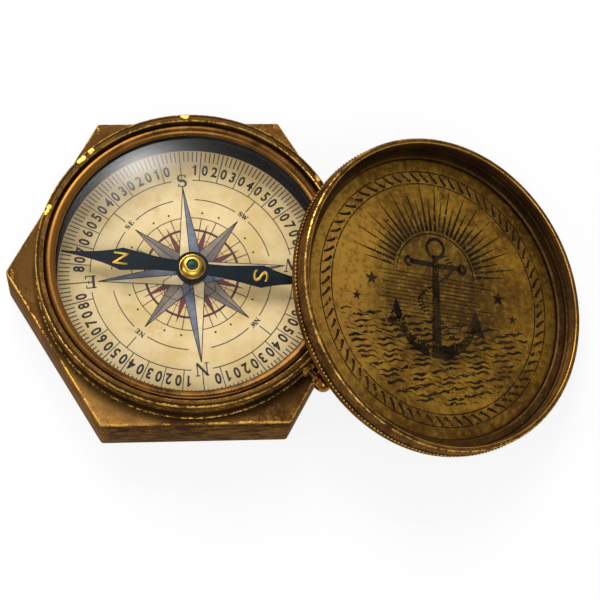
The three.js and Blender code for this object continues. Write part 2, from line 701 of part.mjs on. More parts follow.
const compass = new THREE.Group();
compass.name = 'compass';
compass.add(
  node('case_body', caseBody(), agedBrass),
  node('bottom_cover', bottomCover(), agedBrass),
  ...screwAngles().map((angle, k) => node(`bottom_screw_${k + 1}`, bottomScrew(angle), plainSteel)),
  node('threaded_ring', threadedRing(), agedBrass),
  node('dial_plate', dialLayer(dialSeat, plateTop), warmBrass),
  node('dial_card', dialLayer(plateTop, cardTop), cardStock),
  node('inner_sleeve', innerSleeve(), blackened),
  node('glass_gasket', tube(sleeveOuter - GASKET_WIDTH, sleeveOuter, sleeveTop, glassBottom), rubber),
  node('crystal', disc(sleeveOuter, glassBottom, glassTop), clearGlass),
  node('retaining_ring', retainingRing(), warmBrass),
  node('pivot_post', pivotPost(), brightBrass),
  node('pivot_pin', pivotPin(), plainSteel),
  needleGroup,
  lockGroup,
  lidGroup,
);

export default compass;
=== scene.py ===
# %% [markdown]
# # An antique brass compass, dressed around its CAD frame
# The real object is a hexagonal brass case with a glazed dial, a blued needle and a screw-on lid
# that leans against it. The CAD frame already holds every piece at its true place and size. Here
# each visible piece gets its finer shape and its finish.

# %% Load the frame
import math
from contextlib import contextmanager

import bpy
from mathutils import Euler, Matrix, Quaternion, Vector


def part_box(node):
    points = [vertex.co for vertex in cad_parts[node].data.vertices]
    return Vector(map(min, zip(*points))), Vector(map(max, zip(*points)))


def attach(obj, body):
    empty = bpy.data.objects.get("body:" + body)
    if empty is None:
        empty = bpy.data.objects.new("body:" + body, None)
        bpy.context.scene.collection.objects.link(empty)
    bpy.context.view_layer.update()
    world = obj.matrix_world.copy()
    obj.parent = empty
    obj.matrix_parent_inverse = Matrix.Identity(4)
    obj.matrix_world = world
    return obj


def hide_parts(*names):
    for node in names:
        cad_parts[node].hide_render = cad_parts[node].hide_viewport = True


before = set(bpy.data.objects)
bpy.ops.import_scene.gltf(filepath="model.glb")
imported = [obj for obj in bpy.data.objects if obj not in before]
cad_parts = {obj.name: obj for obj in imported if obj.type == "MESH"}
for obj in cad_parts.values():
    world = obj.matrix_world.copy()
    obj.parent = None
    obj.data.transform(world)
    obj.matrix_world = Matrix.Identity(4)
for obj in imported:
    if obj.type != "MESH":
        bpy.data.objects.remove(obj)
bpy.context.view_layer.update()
MM = 0.001


def in_mm(corners):
    """A box's corners in rounded millimetres, to print."""
    return [[round(v / MM, 2) for v in corner] for corner in corners]


# %% [markdown]
# ## The camera
# A camera is easiest to judge as a photographer sets it: a point to aim at, the direction it looks
# from, its distance, a little roll and a lens. A fairly long lens keeps the hexagon from flaring.

# %% Camera
CAMERA_AIM = Vector((26.5, -2.5, 0)) * MM
CAMERA_AZIMUTH = math.radians(-105.6)
CAMERA_ELEVATION = math.radians(70.0)
CAMERA_DISTANCE = 443 * MM
CAMERA_ROLL = math.radians(13.9)
CAMERA_LENS = 109.5


def direction(azimuth, elevation):
    """Unit vector that points at an azimuth from +X and an elevation above the table."""
    flat = math.cos(elevation)
    return Vector((flat * math.cos(azimuth), flat * math.sin(azimuth), math.sin(elevation)))


view_from = direction(CAMERA_AZIMUTH, CAMERA_ELEVATION)
bpy.ops.object.camera_add(location=CAMERA_AIM + view_from * CAMERA_DISTANCE)
camera = bpy.context.object
level_view = (-view_from).to_track_quat("-Z", "Y")
camera.rotation_euler = (level_view @ Quaternion((0, 0, 1), CAMERA_ROLL)).to_euler()
camera.data.lens = CAMERA_LENS
bpy.context.scene.camera = camera
print("camera at", in_mm([camera.location])[0], "mm")

# %% [markdown]
# ## Finishes as Python expressions
# A shader is a graph of nodes, which is slow to read when it is typed link by link. One small class
# wraps a socket, so that arithmetic on sockets writes the Math nodes. Every other kind of node comes
# from its method `node`, which sets the node's settings first and its sockets after.

# %% Shader sockets with operators
class Flow:
    """A socket in a node tree that takes part in Python expressions."""

    def __init__(self, tree, socket=None):
        self.tree = tree
        self.socket = socket

    def node(self, kind, inputs=None, output=0, **settings):
        made = self.tree.nodes.new("ShaderNode" + kind)
        for name, value in settings.items():
            setattr(made, name, value)
        for name, value in (inputs or {}).items():
            if isinstance(value, Flow):
                self.tree.links.new(value.socket, made.inputs[name])
            else:
                made.inputs[name].default_value = value
        return Flow(self.tree, made.outputs[output] if made.outputs else None)

    def math(self, operation, *values):
        return self.node("Math", dict(enumerate(values)), operation=operation)

    def vector(self, operation, *others, output=0):
        return self.node("VectorMath", dict(enumerate((self, *others))), output, operation=operation)

    def __add__(self, other):
        return self.math("ADD", self, other)

    def __sub__(self, other):
        return self.math("SUBTRACT", self, other)

    def __rsub__(self, other):
        return self.math("SUBTRACT", other, self)

    def __mul__(self, other):
        return self.math("MULTIPLY", self, other)

    def __abs__(self):
        return self.math("ABSOLUTE", self)

    __radd__ = __add__
    __rmul__ = __mul__

    def most(self, other):
        return self.math("MAXIMUM", self, other)

    def smooth(self, low, high):
        """0 below low, 1 above high and a soft step between; low may be the larger of the two."""
        return self.node("MapRange", {"Value": self, "From Min": low, "From Max": high},
                         interpolation_type="SMOOTHSTEP")

    def near(self, value, reach):
        """1 where the socket has the value, falling softly to 0 at the reach on either side."""
        return abs(self - value).smooth(reach, 0)

    def mix(self, first, second):
        """Colour between two colours, with this socket as the share of the second."""
        return self.node("Mix", {0: self, 6: first, 7: second}, 2, data_type="RGBA")

    def part(self, axis):
        """One coordinate of this vector."""
        return self.node("SeparateXYZ", {"Vector": self}, "XYZ".index(axis))

    def along(self, way):
        """This vector's length along a fixed direction."""
        return self.vector("DOT_PRODUCT", way, output=1)

    def stretched(self, *scale):
        """This vector with its coordinates scaled, so that noise on it turns into streaks."""
        return self.vector("MULTIPLY", scale)

    def radius(self):
        """This point's distance from the Z axis."""
        return self.stretched(1, 1, 0).vector("LENGTH", output=1)

    def noise(self, scale, detail=4, roughness=0.55, distortion=0):
        """Cloudy noise on a point in mm, with scale features to the metre."""
        return self.node("TexNoise", {
            "Vector": self, "Scale": scale * MM, "Detail": detail, "Roughness": roughness,
            "Distortion": distortion})


print("shader sockets ready")

# %% [markdown]
# ## A finish and its point
# Every finish starts from the point of the surface that is being shaded. Object coordinates stay with
# a piece as it moves. A Mapping node turns them into millimetres about the piece's own centre and
# axes, so that sizes in a finish read like sizes in the model.

# %% Finish helpers
def blank(name):
    """An empty material, and a flow to write its nodes with."""
    material = bpy.data.materials.new(name)
    material.use_nodes = True
    material.node_tree.nodes.clear()
    return material, Flow(material.node_tree)


def new_finish(name, place=(0, 0, 0), turn=(0, 0, 0)):
    """An empty material, and its point in mm about a piece's own centre and axes."""
    material, flow = blank(name)
    return material, flow.node("Mapping", {
        "Vector": flow.node("TexCoord", output=3), "Location": place, "Rotation": turn,
        "Scale": (MM, MM, MM)}, vector_type="TEXTURE")


def shown(shader):
    """Makes a shader the surface of its material."""
    shader.node("OutputMaterial", {"Surface": shader})


def coat(point, sockets):
    """Shows the Principled shader with these sockets."""
    shown(point.node("BsdfPrincipled", sockets))


def relief(height, depth, strength):
    """Normal of a bumpy surface whose height of 1 stands for the depth in mm."""
    return height.node("Bump", {"Height": height, "Distance": depth * MM, "Strength": strength})


def srgb(red, green, blue):
    """Linear colour of an sRGB colour written as 0 to 255."""
    def linear(value):
        share = value / 255
        return share / 12.92 if share <= 0.04045 else ((share + 0.055) / 1.055) ** 2.4
    return (linear(red), linear(green), linear(blue), 1)


print("finish helpers ready")

# %% [markdown]
# ## The table
# The object is shown on a plain white table. The floor is mostly a plain white to the camera and to
# reflections, and partly a lit surface, so that it still takes a soft shadow.

# %% Floor
FLOOR_SIZE = 4.0
FLOOR_DROP = 0.02 * MM
FLOOR_PAPER = (0.9, 0.9, 0.9, 1)
WHITE = (1, 1, 1, 1)
WHITE_SHARE = 0.85
CAMERA_RAY, GLOSSY_RAY, TRANSMISSION_RAY = 0, 3, 6

bpy.ops.object.select_all(action="DESELECT")
bpy.ops.mesh.primitive_plane_add(size=FLOOR_SIZE, location=(0, 0, -FLOOR_DROP))
floor = bpy.context.object
floor.name = "floor"
floor_finish, flow = blank("white_table")
seen, mirrored, refracted = (
    flow.node("LightPath", output=ray) for ray in (CAMERA_RAY, GLOSSY_RAY, TRANSMISSION_RAY))
paper = flow.node("BsdfDiffuse", {"Color": FLOOR_PAPER})
glow = flow.node("Emission", {"Color": WHITE, "Strength": 1.0})
share = seen.most(mirrored).most(refracted) * WHITE_SHARE
shown(flow.node("MixShader", {0: share, 1: paper, 2: glow}))
floor.data.materials.append(floor_finish)
print("floor", FLOOR_SIZE, "m wide")

# %% [markdown]
# ## World and lamps
# A pale world fills the shadows. Round soft boxes behind and in front give the brass something to
# reflect, and one small lamp makes the gleam on the glass.

# %% World and lamps
WORLD_COLOUR = (0.95, 0.97, 1.0, 1)
WORLD_STRENGTH = 0.42
LAMPS = (
    # name, azimuth, elevation, distance in m, size in m, watts
    ("key_box", 112, 46, 0.75, 0.4, 3.2),
    ("fill_box", -90, 56, 0.85, 0.5, 2.2),
    ("edge_box", 190, 28, 0.8, 0.3, 1.5),
    ("gleam_box", 98.5, 61.8, 0.8, 0.05, 0.52),
)

world = bpy.data.worlds.new("studio")
bpy.context.scene.world = world
world.use_nodes = True
world.node_tree.nodes["Background"].inputs["Color"].default_value = WORLD_COLOUR
world.node_tree.nodes["Background"].inputs["Strength"].default_value = WORLD_STRENGTH
bpy.context.scene.view_settings.view_transform = "Standard"

for name, azimuth, elevation, distance, size, watts in LAMPS:
    side = direction(math.radians(azimuth), math.radians(elevation))
    bpy.ops.object.light_add(type="AREA", location=CAMERA_AIM + side * distance)
    lamp = bpy.context.object
    lamp.name = name
    lamp.rotation_euler = (-side).to_track_quat("-Z", "Y").to_euler()
    lamp.data.shape = "DISK"
    lamp.data.size = size
    lamp.data.energy = watts
print("lamps", [lamp[0] for lamp in LAMPS])

# %% [markdown]
# ## Working by hand, in code
# The pieces are modelled in millimetres about their own axis, as on a bench, and only then shrunk to
# metres and put in place. An operator acts on whatever is selected, so each helper starts by
# selecting nothing. A context manager goes into edit mode and comes back out by itself.

# %% Selecting and editing
MERGE = 0.0005
SMOOTH_ANGLE = math.radians(32)


def unselect():
    bpy.ops.object.select_all(action="DESELECT")


def hold(piece):
    """Makes a piece the only selected one."""
    unselect()
    piece.select_set(True)
    bpy.context.view_layer.objects.active = piece


def discard(piece):
    hold(piece)
    bpy.ops.object.delete()


@contextmanager
def editing(piece, wanted=None):
    """Edit mode with all of a piece selected, or only the vertices that pass a test."""
    hold(piece)
    bpy.ops.object.mode_set(mode="EDIT")
    bpy.ops.mesh.select_mode(type="VERT")
    bpy.ops.mesh.select_all(action="DESELECT" if wanted else "SELECT")
    if wanted:
        bpy.ops.object.mode_set(mode="OBJECT")
        for vertex in piece.data.vertices:
            vertex.select = wanted(vertex)
        bpy.ops.object.mode_set(mode="EDIT")
    yield
    bpy.ops.object.mode_set(mode="OBJECT")


def clean(piece):
    """Merges doubled vertices, drops loose edges and turns the faces outwards."""
    with editing(piece):
        bpy.ops.mesh.remove_doubles(threshold=MERGE)
        bpy.ops.mesh.delete_loose()
        bpy.ops.mesh.select_all(action="SELECT")
        bpy.ops.mesh.normals_make_consistent(inside=False)
    bpy.ops.object.shade_smooth_by_angle(angle=SMOOTH_ANGLE)
    return piece


print("selecting and editing ready")

# %% [markdown]
# ## Turned work
# Most of this object comes off a lathe. Half a section is drawn as a loop of edges, its corners are
# rounded with a vertex bevel, and Spin sweeps it about Z. A corner is wherever the loop bends by more
# than a small angle, so curves that are drawn in short steps stay as they are.

# %% Turned work
TURN_STEPS = 192
FINE_STEPS = 48
ROUND_STEPS = 3
ON_AXIS = 0.001
CORNER_ANGLE = math.radians(12)
UPRIGHT = {"center": (0, 0, 0), "axis": (0, 0, 1)}


def drawn_loop(points, fill="NOTHING"):
    """A closed loop through the points, made from a circle with as many vertices."""
    unselect()
    bpy.ops.mesh.primitive_circle_add(vertices=len(points), radius=1, fill_type=fill)
    piece = bpy.context.object
    for vertex, point in zip(piece.data.vertices, points):
        vertex.co = point
    return piece


def turned(section, rounding=0, steps=TURN_STEPS):
    """A solid turned from half a section of (radius, height) points, its corners rounded."""
    piece = drawn_loop([(radius, 0, height) for radius, height in section])
    places = [vertex.co.copy() for vertex in piece.data.vertices]

    def is_corner(vertex):
        here = places[vertex.index]
        before = here - places[vertex.index - 1]
        after = places[(vertex.index + 1) % len(places)] - here
        return here.x > ON_AXIS and before.angle(after) > CORNER_ANGLE

    if rounding:
        with editing(piece, is_corner):
            bpy.ops.mesh.bevel(
                offset=rounding, segments=ROUND_STEPS, affect="VERTICES", clamp_overlap=True)
    with editing(piece):
        bpy.ops.mesh.spin(steps=steps, angle=math.tau, use_auto_merge=True, **UPRIGHT)
    return clean(piece)


print("lathe ready,", TURN_STEPS, "steps to a turn")

# %% [markdown]
# ## Cutting and joining
# Bores and slots are cut as on a bench: a bar or a block of the hole's size is taken out of the piece
# with a Boolean modifier and then thrown away. A modifier is applied as soon as it is set.

# %% Cutting and joining
def finished(piece, kind, **settings):
    """Adds a modifier with its settings and applies it."""
    hold(piece)
    bpy.ops.object.modifier_add(type=kind)
    modifier = piece.modifiers[-1]
    for name, value in settings.items():
        setattr(modifier, name, value)
    bpy.ops.object.modifier_apply(modifier=modifier.name)
    return piece


def bored(piece, cutter):
    """Takes a cutter's shape out of a piece."""
    finished(piece, "BOOLEAN", operation="DIFFERENCE", object=cutter, solver="EXACT")
    discard(cutter)


def rod(radius, depth, location=(0, 0, 0), rotation=(0, 0, 0)):
    """A round bar to cut with."""
    unselect()
    bpy.ops.mesh.primitive_cylinder_add(
        vertices=FINE_STEPS, radius=radius, depth=depth, location=location, rotation=rotation)
    return bpy.context.object


def block(low, high, turn=0):
    """A box between two corners, turned about Z, to cut with."""
    unselect()
    bpy.ops.mesh.primitive_cube_add(size=1, location=(Vector(low) + Vector(high)) / 2)
    cutter = bpy.context.object
    cutter.scale = Vector(high) - Vector(low)
    bpy.ops.object.transform_apply()
    cutter.rotation_euler.z = turn
    bpy.ops.object.transform_apply()
    return cutter


def joined(pieces):
    """One mesh of several pieces, with their places applied."""
    unselect()
    for piece in pieces:
        piece.select_set(True)
    bpy.context.view_layer.objects.active = pieces[0]
    bpy.ops.object.transform_apply()
    bpy.ops.object.join()
    return bpy.context.object


print("cutters ready")

# %% [markdown]
# ## Putting a piece in place
# A finished piece keeps its place in its mesh, as the CAD solids do, so its object stays at the
# origin. It rides on a body of the frame, takes its finish and hides the CAD solid it stands for.

# %% Putting a piece in place
def settle(piece, name, body, finish, stands_for=(), place=None):
    """Shrinks a piece to metres, puts it in place and lets it ride on its body."""
    hold(piece)
    piece.matrix_world = (place or Matrix.Identity(4)) @ Matrix.Scale(MM, 4)
    bpy.ops.object.transform_apply()
    piece.name = name
    piece.data.name = name
    piece.data.materials.clear()
    piece.data.materials.append(finish)
    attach(piece, body)
    if stands_for:
        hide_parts(*stands_for)
    print(name, len(piece.data.polygons), "faces")


def size_of(node):
    """Lowest and highest corner of a CAD node, in mm."""
    low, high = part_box(node)
    return low / MM, high / MM


print("the glass is", round(size_of("crystal")[1].x * 2, 1), "mm across")

# %% [markdown]
# ## Patina
# Antique brass is darkened all over and rubbed bright again where hands and edges meet. The finish
# is one brown metal with clouds and specks in it. Where a piece has an edge, its own maths says how
# worn the place is, and a fine noise breaks that up into flecks of bright metal.

# %% Aged brass
BROWNS = (srgb(80, 51, 21), srgb(140, 96, 44), srgb(188, 138, 74))
# Bright brass for wear, and on the screw ring also for painted highlights.
WEAR_AND_HIGHLIGHT_GOLD = srgb(222, 170, 78)
# The dark colour serves for dirt and for painted shade.
GRIME_AND_SHADE = srgb(20, 11, 5)
BRASS_EDGE = (0.62, 0.45, 0.25, 1)


def aged_brass(name, worn, grime_and_shade=None, place=(0, 0, 0), turn=(0, 0, 0), tones=BROWNS, painted_sheen=None):
    """Dark brass, bright where worn(point) says; the darkening mask blackens it for dirt and painted
    shade, and the paling mask paints a sheen on it.
    """
    deep, middle, tan = tones
    material, point = new_finish(name, place, turn)
    clouds = point.noise(70, detail=5, roughness=0.6)
    stains = point.noise(260, detail=5, roughness=0.65)
    grain = point.noise(1500, detail=3, roughness=0.6)
    flecks = point.noise(1200, detail=5, roughness=0.66)
    brown = clouds.smooth(0.3, 0.7).mix(deep, middle)
    # A painted sheen, where a piece asks for one.
    if painted_sheen:
        brown = (painted_sheen(point) * (1.5 * stains)).mix(brown, tan)
    brown = ((stains * 0.6 + grain * 0.4).smooth(0.44, 0.68) * 0.75).mix(brown, tan)
    brown = ((1 - grain).smooth(0.55, 0.7) * 0.55).mix(brown, deep)
    # The darkening mask carries dirt and painted shade alike.
    if grime_and_shade:
        patchy = (stains * 0.5 + grain * 0.5).smooth(0.38, 0.62)
        brown = (grime_and_shade(point) * (0.75 + 0.35 * patchy)).mix(brown, GRIME_AND_SHADE)
    # Bright metal from wear; on the screw ring it also paints highlights along the rim and the crests.
    rubbed = (flecks * 0.65 + stains * 0.35 - (0.79 - 0.34 * worn(point))).smooth(0, 0.12)
    coat(point, {
        "Base Color": rubbed.mix(brown, WEAR_AND_HIGHLIGHT_GOLD),
        "Metallic": 0.8 + 0.2 * rubbed,
        "Roughness": 0.56 - 0.22 * rubbed + 0.25 * (stains - 0.5),
        "Specular Tint": BRASS_EDGE,
        "Specular IOR Level": 0.2,
        "Normal": relief(flecks * 0.6 + grain * 0.4, 0.05, 0.5),
    })
    return material


def spots(point, *places):
    """Patches round a piece's axis, each at an azimuth and with a half-width in degrees."""
    radial = point.stretched(1, 1, 0).vector("NORMALIZE")
    total = None
    for azimuth, width in places:
        facing = radial.along(direction(math.radians(azimuth), 0))
        spot = facing.smooth(math.cos(math.radians(width)), 1)
        total = spot if total is None else total.most(spot)
    return total


print("aged brass ready")

# %% [markdown]
# ## The hexagonal case
# The case is a hexagonal bar, bored from both ends. A cylinder with six sides is that bar. All its
# edges are bevelled first, and then the bores are cut with a turned cutter, which keeps the rounded
# edges even.

# %% Case
CASE_SIDES = 6
CASE_ROUND = 0.55
FIT_GAP = 0.3
BEYOND = 1.0
SPIGOT_WALL = 0.8
SEAT_WIDTH = 3.4

case_high = size_of("case_body")[1]
cover_high = size_of("bottom_cover")[1]
plate_low = size_of("dial_plate")[0]
ring_low, ring_high = size_of("threaded_ring")
glass_low, glass_high = size_of("crystal")
case_top = case_high.z
bore = glass_high.x + FIT_GAP
seat = bore - SEAT_WIDTH
spigot = bore + SPIGOT_WALL
spigot_hole, spigot_seat = spigot + FIT_GAP, ring_low.z - FIT_GAP
cover_hole = cover_high.x + FIT_GAP

unselect()
bpy.ops.mesh.primitive_cylinder_add(
    vertices=CASE_SIDES, radius=case_high.x, depth=case_top, location=(0, 0, case_top / 2),
    rotation=(0, 0, math.pi / CASE_SIDES))
hexagon = bpy.context.object
bpy.ops.object.transform_apply()
with editing(hexagon):
    bpy.ops.mesh.bevel(offset=CASE_ROUND, segments=ROUND_STEPS, affect="EDGES")
bored(hexagon, turned([
    (0, -BEYOND), (cover_hole, -BEYOND), (cover_hole, cover_high.z), (seat, cover_high.z),
    (seat, plate_low.z), (bore, plate_low.z), (bore, spigot_seat), (spigot_hole, spigot_seat),
    (spigot_hole, case_top + BEYOND), (0, case_top + BEYOND)]))
print("case", round(case_high.y * 2, 1), "mm across the flats")

# %% [markdown]
# ## Slot and screw holes
# The lever of the needle's lock needs a slot through the seat inside the case, and the bottom cover
# needs three screw holes. They are straight cuts, so a block and three rods are enough.

# %% Slot and screw holes
LOCK_AZIMUTH = math.radians(-45)
SLOT_SIDE = 2.0
SLOT_DROP = 1.6
SCREW_HOLE = 1.0

slot_low = size_of("lifter_lever")[0].z - SLOT_DROP
bored(hexagon, block(
    (seat - BEYOND, -SLOT_SIDE, slot_low), (glass_high.x, SLOT_SIDE, plate_low.z + BEYOND / 2),
    LOCK_AZIMUTH))
for number in (1, 2, 3):
    low, high = size_of(f"bottom_screw_{number}")
    middle = (low + high) / 2
    middle.z += FIT_GAP / 2
    bored(hexagon, rod(SCREW_HOLE, high.z - low.z + FIT_GAP, middle))
clean(hexagon)
print("case bored,", len(hexagon.data.polygons), "faces")

# %% [markdown]
# ## Wear on the case
# The case is rubbed bright along its edges and in flecks near them. The greatest of three distances
# along the hexagon's own directions says how near a point is to the closest flat side, so one soft
# step on it marks the whole rim.

# %% Wear on the case
corner_at, flat_at = case_high.xy
SLANTS = (math.radians(30), math.radians(150))


def case_wear(point):
    """Rubbed along the hexagon's edges: round the top and bottom, and down the six corners."""
    radius, height = point.radius(), point.part("Z")
    flats = abs(point.part("Y"))
    for slant in SLANTS:
        flats = flats.most(abs(point.along(direction(slant, 0))))
    uneven = point.noise(170, detail=3).smooth(0.4, 0.6)
    uneven = uneven.most(radius.smooth(corner_at - 5, corner_at - 1.5))
    rim = flats.smooth(flat_at - 0.85, flat_at - 0.15) * (0.72 + 0.33 * uneven)
    strewn = flats.smooth(flat_at - 6.0, flat_at) * 0.62
    strewn = strewn.most(radius.smooth(corner_at - 5.5, corner_at - 0.5) * 0.9)
    top = height.smooth(case_top - 1.1, case_top - 0.2)
    bottom = height.smooth(0.8, 0.1)
    corner = radius.smooth(corner_at - 1.6, corner_at - 0.4)
    return (rim * (top * 1.2).most(bottom * 0.8)).most(strewn * top).most(corner * 0.7)


print("edges of the case at", round(flat_at, 2), "and", round(corner_at, 2), "mm")

# %% [markdown]
# ## Painted shade and sheen on the case
# Painted shade darkens the top round the ring's foot and by the knob, the sides below the top in
# streaks, less on the lower left side, and the far side of the case. A painted sheen makes the near
# left corner of the top paler. A direction's dot product finds a side, and a spot about an azimuth
# finds a corner.

# %% Painted shade and sheen on the case
# The lower left side takes less painted shade, and the near left corner of the top a painted sheen.
LIT_SIDE = (-0.866, -0.5, 0)
FAR_SIDE = (-0.85, 0.53, 0)
SHEEN_CORNER = (-124, 26)
KNOB_CORNER = (-42, 24)
ring_foot = ring_high.x


def case_grime(point):
    """Painted shade round the ring's foot, by the knob, in streaks on the sides and on the far face."""
    radius = point.radius()
    # Painted shade round the ring's foot, in the crook by the knob, down the sides (less on the lower left
    # side, which stands in the light) and on the far side.
    foot_shade = radius.smooth(ring_foot + 2.8, ring_foot) * 0.85
    crook = spots(point, KNOB_CORNER) * radius.smooth(ring_foot + 5.5, ring_foot)
    lit_face = point.along(LIT_SIDE).smooth(flat_at - 2, flat_at - 0.5)
    streaks = point.stretched(1, 1, 2.6).noise(360, detail=5, roughness=0.7).smooth(0.57, 0.44)
    sides = point.part("Z").smooth(case_top - 0.4, case_top - 1.0) * (0.95 - 0.55 * lit_face)
    sides = sides * (0.45 + 0.55 * streaks)
    far = point.along(FAR_SIDE).smooth(0, corner_at) * 0.75
    return foot_shade.most(sides).most(far).most(crook)


def case_polish(point):
    """Painted sheen: paler on the near left corner of the top."""
    top = point.part("Z").smooth(case_top - 0.5, case_top - 0.1)
    return spots(point, SHEEN_CORNER).smooth(0, 0.5) * top


case_brass = aged_brass("case_brass", case_wear, case_grime, painted_sheen=case_polish)
settle(hexagon, "hexagon_case", "case", case_brass, ["case_body"])

# %% [markdown]
# ## Screw threads
# A thread is a spiral, which no spin gives. So the wall is spun plain, in rows close enough to carry
# it. A vertex group then holds the height of the spiral at every vertex of the wall, and a Displace
# modifier raises the wall by it.

# %% Screw threads
THREAD_DEPTH = 0.3
THREAD_PITCH = 0.9
THREAD_ROWS = 8


def thread_rows(radius, start, end):
    """Points down or up a wall, close enough together to carry a thread."""
    count = round(abs(end - start) / THREAD_PITCH * THREAD_ROWS)
    return [(radius, start + (end - start) * row / count) for row in range(count + 1)]


def cut_thread(piece, wall, low, high):
    """Raises a spiral thread on the wall of that radius between two heights."""
    group = piece.vertex_groups.new(name="thread")
    for vertex in piece.data.vertices:
        height = vertex.co.z
        if abs(vertex.co.xy.length - wall) > ON_AXIS or not low < height < high:
            continue
        turns = math.atan2(vertex.co.y, vertex.co.x) / math.tau
        wave = 0.5 - 0.5 * math.cos(math.tau * ((height - low) / THREAD_PITCH - turns))
        fade = min(1, (height - low) / THREAD_PITCH, (high - height) / THREAD_PITCH)
        group.add([vertex.index], wave * fade, "REPLACE")
    finished(piece, "DISPLACE", direction="NORMAL", strength=THREAD_DEPTH, mid_level=0,
             vertex_group="thread")


print("threads of", THREAD_PITCH, "mm pitch")

# %% [markdown]
# ## The threaded ring
# A ring stands on the case and takes the lid's thread. It is spun from its section, with a spigot
# below that sits in the case and a chamfered rim on top. A hole through its wall takes the bush of
# the knob.

# %% Threaded ring
FOOT_SPREAD, FOOT_HEIGHT = 0.3, 0.4
RIM_CHAMFER = 0.3
RING_ROUND = 0.16
THREAD_START, THREAD_END, CREST_RISE = 4.9, 0.7, 0.1
BUSH_HOLE, BUSH_DEPTH = 1.45, 4

rim_top = ring_high.z
foot_top = case_top + FOOT_HEIGHT
crest = ring_foot - FOOT_SPREAD
band = crest - THREAD_DEPTH
thread_low, thread_high = rim_top - THREAD_START, rim_top - THREAD_END
screw_ring = turned([
    (bore, ring_low.z), (spigot, ring_low.z), (spigot, case_top), (ring_foot, case_top),
    (ring_foot, foot_top), (band, foot_top), *thread_rows(band, thread_low, thread_high),
    (crest, thread_high + CREST_RISE), (crest, rim_top - RIM_CHAMFER), (crest - RIM_CHAMFER, rim_top),
    (bore + RIM_CHAMFER, rim_top), (bore, rim_top - RIM_CHAMFER)], RING_ROUND)
cut_thread(screw_ring, band, thread_low, thread_high)
bush_low, bush_high = size_of("lock_bush")
lock_height = (bush_low.z + bush_high.z) / 2
lock_way = direction(LOCK_AZIMUTH, 0)
bored(screw_ring, rod(
    BUSH_HOLE, BUSH_DEPTH, lock_way * bore + Vector((0, 0, lock_height)), (0, math.pi / 2, LOCK_AZIMUTH)))
clean(screw_ring)
print("ring from", round(bore, 2), "to", round(ring_foot, 2), "mm radius")

# %% [markdown]
# ## Wear and painted light on the ring
# The rim is chipped bright in a few places. A chip is a soft patch that noise eats into, so that its
# edge is ragged. The lines along the rim's two edges and the thread's crests are wear and painted
# highlight at once. The roots of the thread are black, because no cloth gets into them. The wall darkens
# downwards and on the far side, and painted shade darkens it above the foot and by the knob.

# %% Wear and painted light on the ring
RING_BROWNS = (srgb(64, 43, 21), srgb(108, 75, 36), srgb(154, 113, 60))
RIM_CHIPS = ((92, 2.2), (136, 3.2), (131, 1.8), (160, 3.4), (33, 2.2))
KNOB_SHADE = (-28, 34)


def ring_wear(point):
    """Rubbed on the rim's two edges, the thread's crests and the foot, and chipped in a few places; the
    edge and crest lines are partly painted highlights.
    """
    radius, height = point.radius(), point.part("Z")
    top = height.smooth(rim_top - 0.7, rim_top - 0.25)
    # The rim's edge lines and the thread's crests carry painted highlights as well as wear.
    outer = radius.smooth(crest - 0.6, crest - 0.2) * top
    inner = radius.smooth(bore + 0.55, bore + 0.15) * top
    crests = radius.smooth(band + 0.17, crest) * 0.9
    base = radius.smooth(ring_foot - 0.3, ring_foot - 0.1) * height.smooth(foot_top - 0.2, foot_top)
    blob = spots(point, *RIM_CHIPS) * radius.near(crest - 0.75, 1.1)
    ragged = (blob + 2.0 * (point.noise(800, detail=4) - 0.5)).smooth(0.42, 0.62)
    chips = ragged * blob.smooth(0, 0.3) * top
    return (outer * 1.15).most(inner * 1.15).most(crests).most(base).most(chips * 1.2)


def ring_grime(point):
    """Grime in the thread's roots, darker down the wall and on the far side, and painted shade above the
    foot and by the knob.
    """
    radius, height = point.radius(), point.part("Z")
    roots = radius.smooth(band + 0.16, band + 0.02) * radius.smooth(bore + 0.8, bore + 1)
    wall = height.smooth(rim_top - 0.6, rim_top - 1.6) * 0.4
    far = point.part("Y").smooth(0, ring_foot) * 0.35
    # Painted shade where the ring stands on the case.
    low = height.smooth(case_top + 1.2, case_top) * 0.8
    return (roots * 0.8).most(low).most(wall).most(far).most(spots(point, KNOB_SHADE))


ring_brass = aged_brass("ring_brass", ring_wear, ring_grime, tones=RING_BROWNS)
settle(screw_ring, "screw_ring", "case", ring_brass, ["threaded_ring"])

# %% [markdown]
# ## Turned brass
# Brass straight from the lathe shows fine rings from the tool. Noise on the section, which is the
# radius and the height, changes fast across the turn and not at all along it, and so gives rings.

# %% Turned brass
def turned_brass(name, dark, light, roughness, metallic=1.0, lit_spots=(), lip=None):
    """Satin brass with the tool's rings and tarnish, with painted light in the given spots and a painted
    highlight at a lip's radius.
    """
    material, point = new_finish(name)
    section = point.node("CombineXYZ", {"X": point.radius(), "Y": point.part("Z")})
    rings = section.noise(2600, detail=3, roughness=0.7)
    tarnish = point.noise(180, detail=5, roughness=0.6)
    specks = point.noise(1400, detail=3)
    tone = (tarnish * 0.6 + rings * 0.4).smooth(0.36, 0.66)
    # Painted light: lighter in the given spots, and a painted highlight along the lip.
    if lit_spots:
        tone = (tone * 0.8).most(spots(point, *lit_spots))
    if lip:
        tone = tone + point.radius().near(lip, 0.45) * 0.6
    coat(point, {
        "Base Color": specks.smooth(0.66, 0.76).mix(tone.mix(dark, light), dark),
        "Metallic": metallic,
        "Roughness": roughness + 0.3 * (tarnish - 0.5),
        "Specular IOR Level": 0.2,
        "Normal": relief(rings * 0.7 + specks * 0.3, 0.02, 0.5),
    })
    return material


